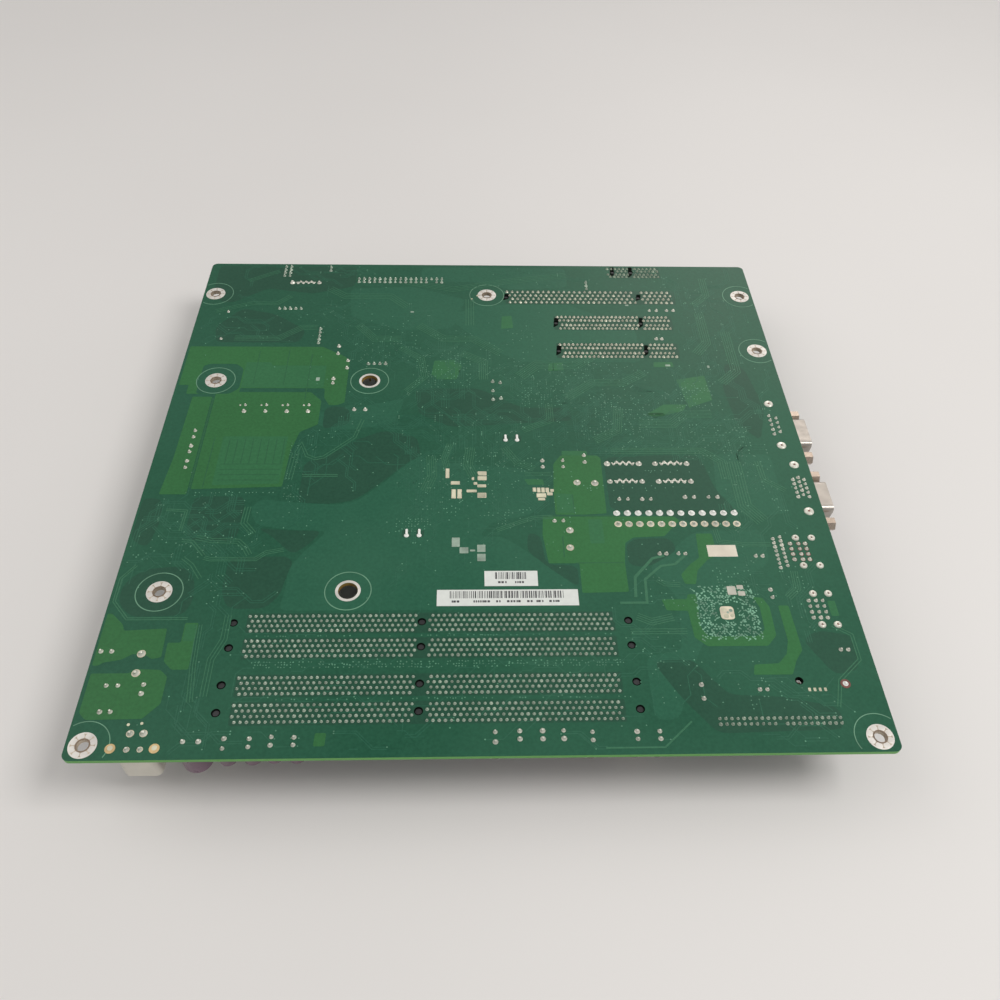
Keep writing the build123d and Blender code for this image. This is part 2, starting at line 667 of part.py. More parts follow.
def make_shroud(x, y, length, width, wall, height, notch):
    """The open box around a ribbon header, with a keying notch in one long wall."""
    with BuildPart() as shroud:
        with BuildSketch(below(0)):
            with Locations(at(x, y)):
                Rectangle(length, width)
        extrude(amount=-height)
        with BuildSketch(below(SHROUD_FLOOR)):
            with Locations(at(x, y)):
                Rectangle(length - 2 * wall, width - 2 * wall)
            with Locations(at(x, y - width / 2)):
                Rectangle(notch, 2.5 * wall)
        extrude(amount=-height, mode=Mode.SUBTRACT)
    return shroud.part


def make_header_pins(grids, size, start, length):
    """Square header pins in rows: each grid gives x, y, pitch, columns and rows."""
    with BuildPart() as pins:
        for x, y, pitch, columns, rows in grids:
            with BuildSketch(below(start)):
                with Locations(at(x, y)):
                    with GridLocations(pitch, pitch, columns, rows):
                        Rectangle(size, size)
            extrude(amount=-length)
    return pins.part


HEADER_PITCH = 2.54
HEADER_PIN = 0.64
PANEL_PITCH = 2.0
PANEL_PIN = 0.5
RIBBON_HEADER = (93.9, 250.8)
RIBBON_GRID = (*RIBBON_HEADER, HEADER_PITCH, 17, 2)
RIBBON_BOX = (50.9, 8.8, 1.2, 9.0, 4.5)  # length, width, wall, height and notch
RIBBON_PIN_OUT = 5.6
PANEL_HEADER = (229.35, 11.2)
PANEL_GRID = (*PANEL_HEADER, PANEL_PITCH, 21, 2)
PANEL_BOX = (46.0, 6.4, 1.0, 6.6, 3.5)
PANEL_PIN_OUT = 3.6
save(make_shroud(*RIBBON_HEADER, *RIBBON_BOX), "ribbon_header_shroud")
save(make_header_pins([RIBBON_GRID], HEADER_PIN, SHROUD_FLOOR, RIBBON_PIN_OUT), "ribbon_header_pins")
save(make_shroud(*PANEL_HEADER, *PANEL_BOX), "panel_header_shroud")
save(make_header_pins([PANEL_GRID], PANEL_PIN, SHROUD_FLOOR, PANEL_PIN_OUT), "panel_header_pins")

# x, y, pitch, columns and rows of each small header
JUMPER_HEADER = (38.0, 258.0, HEADER_PITCH, 2, 4)
PIN_HEADERS = [
    JUMPER_HEADER,
    (42.8, 228.0, HEADER_PITCH, 5, 1),
    (59.0, 260.0, HEADER_PITCH, 1, 2),
    (58.7, 207.8, HEADER_PITCH, 1, 5),
    (86.3, 188.3, HEADER_PITCH, 4, 1),
    (185.5, 247.3, HEADER_PITCH, 1, 3),
]
HEADER_BASE = 2.5
HEADER_BASE_GAP = 0.1
HEADER_PIN_OUT = 6.0

with BuildPart() as pin_header_bases:
    for x, y, pitch, columns, rows in PIN_HEADERS:
        with BuildSketch(below(0)):
            with Locations(at(x, y)):
                Rectangle(columns * pitch - HEADER_BASE_GAP, rows * pitch - HEADER_BASE_GAP)
        extrude(amount=-HEADER_BASE)
save(pin_header_bases.part, "pin_header_bases")
save(make_header_pins(PIN_HEADERS, HEADER_PIN, HEADER_BASE, HEADER_PIN_OUT), "pin_header_pins")

JUMPER_GAP = 0.4
JUMPER_LENGTH = 5.0
JUMPER_WIDTH = 2.1
JUMPER_CORNER = 0.3
JUMPER_HEIGHT = 6.0
JUMPER_BORE = 1.0
jumper_y = JUMPER_HEADER[1] - 1.5 * HEADER_PITCH
with BuildPart() as jumper_cap:
    with BuildSketch(below(HEADER_BASE + JUMPER_GAP)):
        with Locations(at(JUMPER_HEADER[0], jumper_y)):
            RectangleRounded(JUMPER_LENGTH, JUMPER_WIDTH, JUMPER_CORNER)
    extrude(amount=-JUMPER_HEIGHT)
    with BuildSketch(below(HEADER_BASE)):
        with Locations(at(JUMPER_HEADER[0], jumper_y)):
            with GridLocations(HEADER_PITCH, 0, 2, 1):
                Rectangle(JUMPER_BORE, JUMPER_BORE)
    extrude(amount=-2 * JUMPER_HEIGHT, mode=Mode.SUBTRACT)
save(jumper_cap.part, "jumper_cap")

# ---------------------------------------------------------------- rear connectors
D_DEPTH = 6.3
D_FLANGE_WIDTH = 31.0
D_FLANGE_HEIGHT = 12.4
D_FLANGE_THICK = 0.8
D_SCREW_SPAN = 25.0
D_BODY_WIDTH = 18.6
D_BODY_HEIGHT = 11.6
D_BODY_FRONT = 254.6
D_EARS_FRONT = 261.4
D_SIDE_SLOPE = 1.5  # how much a D outline draws in on each side
D_CORNER = 2.0
D_INNER_CORNER = 1.5
FLANGE_GAP = 0.1  # from the edge of the board to the flange
FLANGE_CORNER = 1.0
FLANGE_BORE = 1.6
SHELL_WALL = 0.5


def d_outline(width, height, radius):
    """The D-shaped outline of a screened port, wider on the side nearer the board."""
    with BuildSketch(mode=Mode.PRIVATE) as outline:
        with BuildLine():
            Polyline(
                (-width / 2, height / 2),
                (width / 2, height / 2),
                (width / 2 - D_SIDE_SLOPE, -height / 2),
                (-width / 2 + D_SIDE_SLOPE, -height / 2),
                close=True,
            )
        make_face()
        fillet(outline.vertices(), radius)
    return outline.sketch


def make_d_shell(y, width, height):
    """The metal front of a D-shaped port: a flange with two screw holes, and the shell."""
    flange_x = BOARD_LENGTH + FLANGE_GAP
    outer = d_outline(width, height, D_CORNER)
    inner = d_outline(width - 2 * SHELL_WALL, height - 2 * SHELL_WALL, D_INNER_CORNER)
    with BuildPart() as shell:
        with BuildSketch(rear_plane(flange_x, y, D_DEPTH)):
            RectangleRounded(D_FLANGE_WIDTH, D_FLANGE_HEIGHT, FLANGE_CORNER)
            with GridLocations(D_SCREW_SPAN, 0, 2, 1):
                Circle(FLANGE_BORE, mode=Mode.SUBTRACT)
        extrude(amount=D_FLANGE_THICK)
        with BuildSketch(rear_plane(flange_x, y, D_DEPTH)):
            add(outer)
        extrude(amount=D_SHELL_OUT - FLANGE_GAP)
        with BuildSketch(rear_plane(flange_x, y, D_DEPTH)):
            add(inner)
        extrude(amount=D_SHELL_OUT, mode=Mode.SUBTRACT)
    return shell.part


def make_d_insert(y, width, height, reach):
    """The moulded body behind a D-shaped port, and the block of contacts inside the shell."""
    with BuildPart() as insert:
        with BuildSketch(rear_plane(D_BODY_FRONT, y, D_DEPTH)):
            Rectangle(D_BODY_WIDTH, D_BODY_HEIGHT)
        extrude(amount=BOARD_LENGTH - D_BODY_FRONT + FLANGE_GAP)
        with BuildSketch(rear_plane(D_EARS_FRONT, y, D_DEPTH)):
            Rectangle(D_FLANGE_WIDTH, D_BODY_HEIGHT)
            with GridLocations(D_SCREW_SPAN, 0, 2, 1):
                Circle(FLANGE_BORE, mode=Mode.SUBTRACT)
        extrude(amount=BOARD_LENGTH - D_EARS_FRONT + FLANGE_GAP)
        with BuildSketch(rear_plane(BOARD_LENGTH, y, D_DEPTH)):
            add(d_outline(width - 2 * SHELL_WALL, height - 2 * SHELL_WALL, D_INNER_CORNER))
        extrude(amount=reach)
    return insert.part


SERIAL_Y = 149.75
SERIAL_SHELL = (SERIAL_Y, 16.9, 8.4)  # y, width and height
SERIAL_REACH = 1.0  # how far the moulding stands into the shell
VGA_Y = 113.5
VGA_SHELL = (VGA_Y, 16.3, 7.9)
VGA_REACH = 5.8
save(make_d_shell(*SERIAL_SHELL), "serial_port_shell")
save(make_d_insert(*SERIAL_SHELL, SERIAL_REACH), "serial_port_insert")
save(make_d_shell(*VGA_SHELL), "vga_port_shell")
save(make_d_insert(*VGA_SHELL, VGA_REACH), "vga_port_insert")

JACKSCREW_HEX = 2.75
JACKSCREW_OUT = 5.4
JACKSCREW_BORE = 1.2
JACKSCREW_THREAD = 1.5
JACKSCREW_THREAD_LENGTH = 6.4
JACKSCREW_THREAD_START = 5.0  # inside the edge of the board
with BuildPart() as jackscrews:
    for y in (SERIAL_Y, VGA_Y):
        for side in (-1, 1):
            screw_y = y + side * D_SCREW_SPAN / 2
            head_x = BOARD_LENGTH + FLANGE_GAP + D_FLANGE_THICK
            with BuildSketch(rear_plane(head_x, screw_y, D_DEPTH)):
                RegularPolygon(JACKSCREW_HEX, 6)
                Circle(JACKSCREW_BORE, mode=Mode.SUBTRACT)
            extrude(amount=JACKSCREW_OUT)
            with BuildSketch(rear_plane(BOARD_LENGTH - JACKSCREW_THREAD_START, screw_y, D_DEPTH)):
                Circle(JACKSCREW_THREAD)
            extrude(amount=JACKSCREW_THREAD_LENGTH)
save(jackscrews.part, "jackscrews")

CAN_WALL = 0.4
USB_WIDTH = 13.2
USB_HEIGHT = 5.4
TONGUE_WIDTH = 11.0
TONGUE_THICK = 1.8
TONGUE_OFFSET = 0.5
USB_MOUTH_DEPTH = 12.0


def make_port_can(front, y, width, height, mouths):
    """The folded metal can of a port stack, open where each port's mouth is."""
    length = BOARD_LENGTH - front
    with BuildPart() as can:
        with BuildSketch(below(0)):
            with Locations(at(front + length / 2, y)):
                Rectangle(length, width)
        extrude(amount=-height)
        with BuildSketch(below(0)):
            with Locations(at(front + length / 2, y)):
                Rectangle(length - 2 * CAN_WALL, width - 2 * CAN_WALL)
        extrude(amount=-(height - CAN_WALL), mode=Mode.SUBTRACT)
        for depth, mouth_width, mouth_height in mouths:
            with BuildSketch(rear_plane(BOARD_LENGTH - 2 * CAN_WALL, y, depth)):
                Rectangle(mouth_width, mouth_height)
            extrude(amount=3 * CAN_WALL, mode=Mode.SUBTRACT)
    return can.part


def make_port_insert(front, y, width, height, mouths, mouth_depth):
    """The moulded insides of a port stack: a block with a pocket for each port and its tongue."""
    length = BOARD_LENGTH - front
    inner = length - 2 * CAN_WALL
    with BuildPart() as insert:
        with BuildSketch(below(0)):
            with Locations(at(front + length / 2, y)):
                Rectangle(inner, width - 2 * CAN_WALL)
        extrude(amount=-(height - CAN_WALL))
        for depth, mouth_width, mouth_height in mouths:
            with BuildSketch(rear_plane(BOARD_LENGTH - CAN_WALL - mouth_depth, y, depth)):
                Rectangle(mouth_width, mouth_height)
                if mouth_height == USB_HEIGHT:
                    with Locations((0, TONGUE_OFFSET)):
                        Rectangle(TONGUE_WIDTH, TONGUE_THICK, mode=Mode.SUBTRACT)
            extrude(amount=mouth_depth + 1, mode=Mode.SUBTRACT)
    return insert.part


LAN_Y = 81.1
LAN_FRONT = 244.6
LAN_WIDTH = 16.4
LAN_MOUTHS = [(4.4, USB_WIDTH, USB_HEIGHT), (11.4, USB_WIDTH, USB_HEIGHT), (20.4, 12.0, 8.4)]
USB_Y = 55.0
USB_FRONT = 249.0
USB_CAN_WIDTH = 14.4
USB_MOUTHS = [(4.4, USB_WIDTH, USB_HEIGHT), (11.9, USB_WIDTH, USB_HEIGHT), (19.4, USB_WIDTH, USB_HEIGHT)]
USB_CAN_HEIGHT = 23.4
save(make_port_can(LAN_FRONT, LAN_Y, LAN_WIDTH, STACK_HEIGHT, LAN_MOUTHS), "lan_usb_shell")
save(make_port_insert(LAN_FRONT, LAN_Y, LAN_WIDTH, STACK_HEIGHT, LAN_MOUTHS, USB_MOUTH_DEPTH),
     "lan_usb_insert")
save(make_port_can(USB_FRONT, USB_Y, USB_CAN_WIDTH, USB_CAN_HEIGHT, USB_MOUTHS), "usb_stack_shell")
save(make_port_insert(USB_FRONT, USB_Y, USB_CAN_WIDTH, USB_CAN_HEIGHT, USB_MOUTHS, USB_MOUTH_DEPTH),
     "usb_stack_insert")

# ---------------------------------------------------------------- clock battery
CELL_RADIUS = 10.0
CELL_THICK = 3.2
CELL_GAP = 0.3
HOLDER_RADIUS = 12.0
HOLDER_FLOOR = 1.6
HOLDER_HEIGHT = 5.2
HOLDER_BOSS = (8.0, 5.0)  # the block at the contact spring
FINGER_GAP = (7.0, 6.0)
CELL_BEVEL = 0.3

with BuildPart() as battery_holder:
    with BuildSketch(below(0)):
        with Locations(at(*BATTERY)):
            Circle(HOLDER_RADIUS)
            with Locations((0, HOLDER_RADIUS)):
                Rectangle(*HOLDER_BOSS)
    extrude(amount=-HOLDER_HEIGHT)
    with BuildSketch(below(HOLDER_FLOOR)):
        with Locations(at(*BATTERY)):
            Circle(CELL_RADIUS + CELL_GAP)
            with Locations((0, -HOLDER_RADIUS)):
                Rectangle(*FINGER_GAP)
    extrude(amount=-HOLDER_HEIGHT, mode=Mode.SUBTRACT)
save(battery_holder.part, "battery_holder")

with BuildPart() as battery_cell:
    with BuildSketch(below(HOLDER_FLOOR + CELL_GAP)):
        with Locations(at(*BATTERY)):
            Circle(CELL_RADIUS)
    extrude(amount=-CELL_THICK)
    chamfer(battery_cell.faces().filter_by(Plane.XY).edges(), CELL_BEVEL)
save(battery_cell.part, "battery_cell")
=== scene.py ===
"""Compact desktop motherboard lying solder side up: the finished looks around the CAD frame.

Places on the board are given in millimetres from its front left corner, seen from the solder side,
and heights in millimetres over the solder face or depths under the component face.
"""
import math
import random

import bmesh
import bpy
from mathutils import Matrix, Vector
from mathutils.geometry import delaunay_2d_cdt


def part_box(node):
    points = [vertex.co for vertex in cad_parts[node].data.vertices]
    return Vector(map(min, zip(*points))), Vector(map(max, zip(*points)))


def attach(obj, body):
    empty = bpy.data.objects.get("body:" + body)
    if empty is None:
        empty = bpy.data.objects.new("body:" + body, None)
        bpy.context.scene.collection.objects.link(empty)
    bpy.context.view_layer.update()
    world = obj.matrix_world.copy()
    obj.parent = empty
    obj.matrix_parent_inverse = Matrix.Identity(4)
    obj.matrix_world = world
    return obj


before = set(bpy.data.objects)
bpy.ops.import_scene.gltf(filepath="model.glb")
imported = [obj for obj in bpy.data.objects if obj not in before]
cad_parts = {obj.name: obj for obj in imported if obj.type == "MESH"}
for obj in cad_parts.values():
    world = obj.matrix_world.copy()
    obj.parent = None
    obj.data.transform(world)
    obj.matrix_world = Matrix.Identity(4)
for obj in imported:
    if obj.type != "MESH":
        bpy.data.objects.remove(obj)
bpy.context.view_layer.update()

MM = 0.001
BOARD_LOW, BOARD_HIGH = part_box("circuit_board")
BOARD_LENGTH = (BOARD_HIGH[0] - BOARD_LOW[0]) / MM
BOARD_WIDTH = (BOARD_HIGH[1] - BOARD_LOW[1]) / MM
SOLDER_FACE = BOARD_HIGH[2]
COMPONENT_FACE = BOARD_LOW[2]
ROOT = "root"


# ---------------------------------------------------------------- places and meshes


def at(x, y, height=0.0):
    """A point over the solder face, in metres in the frame."""
    return Vector((BOARD_LOW[0] + x * MM, BOARD_LOW[1] + y * MM, SOLDER_FACE + height * MM))


def under(x, y, depth=0.0):
    """A point under the component face, in metres in the frame."""
    return Vector((BOARD_LOW[0] + x * MM, BOARD_LOW[1] + y * MM, COMPONENT_FACE - depth * MM))


def finish_piece(name, bm, materials, body=ROOT, smooth=False):
    """Turn a bmesh into a piece that rides on a body, with the given materials."""
    bmesh.ops.recalc_face_normals(bm, faces=bm.faces[:])
    mesh = bpy.data.meshes.new(name)
    bm.to_mesh(mesh)
    bm.free()
    for material in materials:
        mesh.materials.append(material)
    for polygon in mesh.polygons:
        polygon.use_smooth = smooth
    piece = bpy.data.objects.new(name, mesh)
    bpy.context.scene.collection.objects.link(piece)
    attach(piece, body)
    return piece


def add_slab(bm, outline, low, high, place=at, material=0):
    """A flat piece with an outline in board millimetres, between two heights."""
    floor = [bm.verts.new(place(x, y, low)) for x, y in outline]
    roof = [bm.verts.new(place(x, y, high)) for x, y in outline]
    faces = [bm.faces.new(roof), bm.faces.new(floor[::-1])]
    for i in range(len(outline)):
        j = (i + 1) % len(outline)
        faces.append(bm.faces.new((floor[i], floor[j], roof[j], roof[i])))
    for face in faces:
        face.material_index = material


def box_outline(x, y, length, width, angle=0.0):
    """The four corners of a rectangle about its middle."""
    cosine, sine = math.cos(math.radians(angle)), math.sin(math.radians(angle))
    corners = ((-length / 2, -width / 2), (length / 2, -width / 2),
               (length / 2, width / 2), (-length / 2, width / 2))
    return [(x + u * cosine - v * sine, y + u * sine + v * cosine) for u, v in corners]


def circle_outline(x, y, radius, steps=24, start=0.0):
    """Points around a circle."""
    turns = [start + 2 * math.pi * i / steps for i in range(steps)]
    return [(x + radius * math.cos(t), y + radius * math.sin(t)) for t in turns]


def rounded(points, radius, steps=4):
    """An outline with each corner rounded to a radius, or less where its sides are short."""
    out = []
    count = len(points)
    for i in range(count):
        corner = Vector(points[i])
        back = Vector(points[i - 1]) - corner
        ahead = Vector(points[(i + 1) % count]) - corner
        cut = min(radius, back.length * 0.45, ahead.length * 0.45)
        first = corner + back.normalized() * cut
        last = corner + ahead.normalized() * cut
        for step in range(steps + 1):
            t = step / steps
            out.append(tuple(first * (1 - t) ** 2 + corner * 2 * t * (1 - t) + last * t * t))
    return out


def inside(point, outline):
    """Whether a point lies inside an outline."""
    x, y = point
    found = False
    for i in range(len(outline)):
        x1, y1 = outline[i - 1]
        x2, y2 = outline[i]
        if (y1 > y) != (y2 > y) and x < (x2 - x1) * (y - y1) / (y2 - y1) + x1:
            found = not found
    return found


def add_sheet(bm, outlines, holes, low, high, place=at, material=0):
    """A flat sheet: the union of several outlines, less several holes, between two heights."""
    points = []
    edges = []
    for outline in outlines + holes:
        start = len(points)
        points += [Vector(p) for p in outline]
        edges += [(start + i, start + (i + 1) % len(outline)) for i in range(len(outline))]
    coords, _, faces, *_ = delaunay_2d_cdt(points, edges, [], 0, 1e-4)
    kept = []
    for face in faces:
        middle = sum((coords[i] for i in face), Vector((0, 0))) / len(face)
        wanted = any(inside(middle, outline) for outline in outlines)
        if wanted and not any(inside(middle, hole) for hole in holes):
            kept.append(face)
    roof = {}
    floor = {}
    for index in {i for face in kept for i in face}:
        roof[index] = bm.verts.new(place(*coords[index], high))
        floor[index] = bm.verts.new(place(*coords[index], low))
    sides = {}
    for face in kept:
        bm.faces.new([roof[i] for i in face]).material_index = material
        bm.faces.new([floor[i] for i in reversed(face)]).material_index = material
        for i, j in zip(face, face[1:] + face[:1]):
            sides[(i, j)] = sides.get((i, j), 0) + 1
    for i, j in sides:
        if (j, i) not in sides:
            bm.faces.new((floor[i], floor[j], roof[j], roof[i])).material_index = material


def add_ribbon(bm, points, width, low, high, place=at, material=0):
    """A raised line of one width through points in board millimetres, with mitred corners."""
    spots = [Vector(p) for p in points]
    left = []
    right = []
    for i, spot in enumerate(spots):
        before = (spot - spots[i - 1]).normalized() if i else None
        after = (spots[i + 1] - spot).normalized() if i + 1 < len(spots) else None
        run = ((before or after) + (after or before)).normalized()
        side = Vector((-run.y, run.x))
        stretch = 1.0
        if before and after:
            stretch = 1.0 / max(0.5, side.dot(Vector((-before.y, before.x))))
        left.append(spot + side * (width / 2 * stretch))
        right.append(spot - side * (width / 2 * stretch))
    rows = []
    for a, b in zip(left, right):
        rows.append([bm.verts.new(place(p[0], p[1], h)) for p, h in
                     ((a, low), (a, high), (b, high), (b, low))])
    faces = [bm.faces.new(rows[0]), bm.faces.new(rows[-1][::-1])]
    for row, following in zip(rows, rows[1:]):
        for k in range(4):
            n = (k + 1) % 4
            faces.append(bm.faces.new((row[k], following[k], following[n], row[n])))
    for face in faces:
        face.material_index = material


def add_turned(bm, x, y, profile, steps=12, place=at, material=0, lean=(0.0, 0.0)):
    """A turned shape: rings of (radius, height) from its foot to its top, closed at both ends."""
    rings = []
    top_height = profile[-1][1] or 1.0
    for radius, height in profile:
        shift = height / top_height
        centre_x = x + lean[0] * shift
        centre_y = y + lean[1] * shift
        outline = circle_outline(centre_x, centre_y, radius, steps)
        rings.append([bm.verts.new(place(px, py, height)) for px, py in outline])
    faces = [bm.faces.new(rings[-1]), bm.faces.new(rings[0][::-1])]
    for ring, following in zip(rings, rings[1:]):
        for k in range(steps):
            n = (k + 1) % steps
            faces.append(bm.faces.new((ring[k], ring[n], following[n], following[k])))
    for face in faces:
        face.material_index = material


def add_arc(bm, x, y, radius, width, low, high, place=at, margin=0.6, steps=72):
    """A thin circle line, left out where it would run over the board's edge."""
    run = []
    for i in range(steps + 1):
        turn = 2 * math.pi * i / steps
        px, py = x + radius * math.cos(turn), y + radius * math.sin(turn)
        on_board = margin < px < BOARD_LENGTH - margin and margin < py < BOARD_WIDTH - margin
        if on_board:
            run.append((px, py))
        if (not on_board or i == steps) and len(run) > 1:
            add_ribbon(bm, run, width, low, high, place)
        if not on_board:
            run = []


# ---------------------------------------------------------------- materials


def new_material(name):
    """An empty node material with its shader: returns the material, its nodes, links and shader."""
    material = bpy.data.materials.new(name)
    material.use_nodes = True
    nodes = material.node_tree.nodes
    return material, nodes, material.node_tree.links, nodes["Principled BSDF"]


def noise(nodes, links, scale, detail=3.0, roughness=0.5):
    """A noise texture in the frame's own coordinates, in features per metre."""
    place = nodes.new("ShaderNodeTexCoord")
    texture = nodes.new("ShaderNodeTexNoise")
    texture.inputs["Scale"].default_value = scale
    texture.inputs["Detail"].default_value = detail
    texture.inputs["Roughness"].default_value = roughness
    links.new(place.outputs["Object"], texture.inputs["Vector"])
    return texture.outputs["Fac"]


def ranged(nodes, links, value, low, high, start=0.3, end=0.7):
    """A value mapped from one range to another."""
    node = nodes.new("ShaderNodeMapRange")
    links.new(value, node.inputs["Value"])
    node.inputs["From Min"].default_value = start
    node.inputs["From Max"].default_value = end
    node.inputs["To Min"].default_value = low
    node.inputs["To Max"].default_value = high
    return node.outputs["Result"]


def blended(nodes, links, factor, first, second):
    """A colour between two, where each is a colour or a socket."""
    node = nodes.new("ShaderNodeMix")
    node.data_type = "RGBA"
    links.new(factor, node.inputs["Factor"])
    for key, colour in (("A", first), ("B", second)):
        socket = [s for s in node.inputs if s.name == key and s.type == "RGBA"][0]
        if isinstance(colour, bpy.types.NodeSocket):
            links.new(colour, socket)
        else:
            socket.default_value = (*colour, 1.0)
    return [s for s in node.outputs if s.type == "RGBA"][0]


def bumped(nodes, links, shader, height, strength, distance=0.00005):
    """Raise a surface's normal by a height socket."""
    node = nodes.new("ShaderNodeBump")
    node.inputs["Strength"].default_value = strength
    node.inputs["Distance"].default_value = distance
    links.new(height, node.inputs["Height"])
    links.new(node.outputs["Normal"], shader.inputs["Normal"])


def tinted(colour, factor):
    """A colour made lighter or darker."""
    return tuple(min(1.0, channel * factor) for channel in colour)


def surface(name, colour, rough, metal=0.0, grain=600.0, spread=0.12, bump=0.2, specular=0.5, second=None):
    """A grained surface: noise varies its colour and roughness and raises a fine bump."""
    material, nodes, links, shader = new_material(name)
    coarse = noise(nodes, links, grain / 6)
    fine = noise(nodes, links, grain, detail=5.0)
    dark = tinted(colour, 1 - spread)
    light = second or tinted(colour, 1 + spread)
    links.new(blended(nodes, links, ranged(nodes, links, coarse, 0, 1), dark, light),
              shader.inputs["Base Color"])
    links.new(ranged(nodes, links, fine, max(0.03, rough - 0.08), rough + 0.08), shader.inputs["Roughness"])
    shader.inputs["Metallic"].default_value = metal
    shader.inputs["Specular IOR Level"].default_value = specular
    bumped(nodes, links, shader, fine, bump)
    return material


MASK_DEEP = (0.010, 0.080, 0.042)
MASK_PALE = (0.022, 0.108, 0.060)
MASK_ON_COPPER = (0.030, 0.140, 0.045)
BARE_EDGE = (0.13, 0.40, 0.09)


def mask_material(name, deep, pale, weave=0.25, edge=None):
    """Green solder mask: soft cloudy tone, a faint glass weave, and a bare edge if one is given."""
    material, nodes, links, shader = new_material(name)
    cloud = noise(nodes, links, 14.0, detail=4.0, roughness=0.55)
    colour = blended(nodes, links, ranged(nodes, links, cloud, 0, 1), deep, pale)
    speckle = noise(nodes, links, 900.0, detail=3.0)
    fine = ranged(nodes, links, speckle, 0.0, 0.30)
    colour = blended(nodes, links, fine, colour, tinted(pale, 1.5))
    if edge:
        geometry = nodes.new("ShaderNodeNewGeometry")
        split = nodes.new("ShaderNodeSeparateXYZ")
        links.new(geometry.outputs["Normal"], split.inputs["Vector"])
        level = nodes.new("ShaderNodeMath")
        level.operation = "ABSOLUTE"
        links.new(split.outputs["Z"], level.inputs[0])
        flat = ranged(nodes, links, level.outputs["Value"], 1.0, 0.0, 0.3, 0.6)
        colour = blended(nodes, links, flat, colour, edge)
    links.new(colour, shader.inputs["Base Color"])
    links.new(ranged(nodes, links, cloud, 0.30, 0.42), shader.inputs["Roughness"])
    shader.inputs["Specular IOR Level"].default_value = 0.22
    bumped(nodes, links, shader, speckle, weave)
    return material


MASK = mask_material("solder_mask", MASK_DEEP, MASK_PALE, edge=BARE_EDGE)
COPPER_MASK = mask_material("mask_on_copper", tinted(MASK_ON_COPPER, 0.9), tinted(MASK_ON_COPPER, 1.1))
LEAF_MASK = mask_material("mask_on_inner_copper", (0.026, 0.136, 0.052), (0.034, 0.152, 0.062))
LEAF_LINE_MASK = mask_material("mask_on_gaps", (0.022, 0.110, 0.046), (0.028, 0.124, 0.054))
PALE_MASK = mask_material("mask_over_inner_plane", (0.015, 0.100, 0.055), (0.026, 0.120, 0.068))
# darker mask: the tone over gaps between inner planes, and painted shade in the fields of joints
GAP_TONE_AND_PAINTED_SHADE = mask_material("mask_over_gap_and_painted_shade", (0.013, 0.068, 0.039), (0.021, 0.085, 0.050))
ROUTE_MASK = mask_material("mask_on_fine_traces", (0.016, 0.104, 0.060), (0.034, 0.132, 0.078))
TRACE_MASK = mask_material("mask_on_traces", (0.032, 0.138, 0.072), (0.048, 0.166, 0.092))
VIA_MASK = surface("mask_on_vias", (0.10, 0.27, 0.17), 0.35, grain=900, spread=0.4)
BALL_VIA = surface("via_ring", (0.17, 0.37, 0.25), 0.35, grain=1500, spread=0.5)
DULL_PAD = surface("masked_pad", (0.30, 0.40, 0.32), 0.45, grain=1500, spread=0.3)
# near-black matt: painted shade in the peg holes, beside the slots' pegs and in the port's socket holes
PAINTED_HOLE_SHADE = surface("painted_hole_shade", (0.003, 0.006, 0.004), 0.9, grain=900, spread=0.3, specular=0.05)
LINE_INK = surface("outline_ink", (0.13, 0.30, 0.19), 0.5, grain=900, spread=0.2)
SOLDER = surface("solder", (0.76, 0.75, 0.66), 0.34, metal=0.4, grain=1600, spread=0.16, bump=0.3)
PIN_SOLDER = surface("pin_solder", (0.50, 0.58, 0.48), 0.32, metal=0.4, grain=1600, spread=0.25, bump=0.3)
SLOT_SOLDER = surface("slot_solder", (0.56, 0.56, 0.45), 0.34, metal=0.4, grain=1600, spread=0.25, bump=0.3)
DIM_SOLDER = surface("dim_solder", (0.27, 0.33, 0.25), 0.4, metal=0.3, grain=1600, spread=0.3, bump=0.3)
# near-white matt solder: the glint of the joints painted into its colour
GLINT_PAINTED_SOLDER = surface("solder_with_painted_glint", (0.92, 0.93, 0.88), 0.4, metal=0.05, grain=1600, spread=0.08)
PAD_SOLDER = surface("pad_solder", (0.62, 0.60, 0.44), 0.4, metal=0.15, grain=500, spread=0.4, bump=0.4)
FIBRE = surface("bare_fibreglass", (0.30, 0.19, 0.05), 0.6, grain=1200, spread=0.3, bump=0.4)
CREAM_INK = surface("cream_block", (0.72, 0.66, 0.54), 0.5, grain=1400, spread=0.08)
PLATED = surface("plated_ring", (0.74, 0.71, 0.66), 0.42, metal=0.25, grain=1000, spread=0.15, bump=0.5)
STAIN = surface("stained_plating", (0.52, 0.44, 0.34), 0.45, metal=0.2, grain=900, spread=0.3, bump=0.4)
RIM = surface("hole_rim", (0.22, 0.16, 0.11), 0.5, metal=0.2, grain=900, spread=0.4, bump=0.3)
TIN_PAD = surface("tin_pad", (0.40, 0.40, 0.34), 0.45, metal=0.2, grain=500, spread=0.4, bump=0.3)
FLUX = surface("flux_residue", (0.16, 0.055, 0.04), 0.45, grain=1400, spread=0.4)
GOLD_PAD = surface("gold_pad", (0.62, 0.45, 0.22), 0.35, metal=0.4, grain=1200, spread=0.3)
BARE_PAD = surface("bare_pad", (0.66, 0.60, 0.46), 0.42, metal=0.2, grain=1400, spread=0.25, bump=0.4)
PAPER = surface("label_paper", (0.75, 0.78, 0.74), 0.55, grain=2500, spread=0.04, bump=0.12)
PRINT = surface("label_print", (0.05, 0.05, 0.055), 0.6, grain=2500, spread=0.5)


# ---------------------------------------------------------------- board layout, mm from its corner

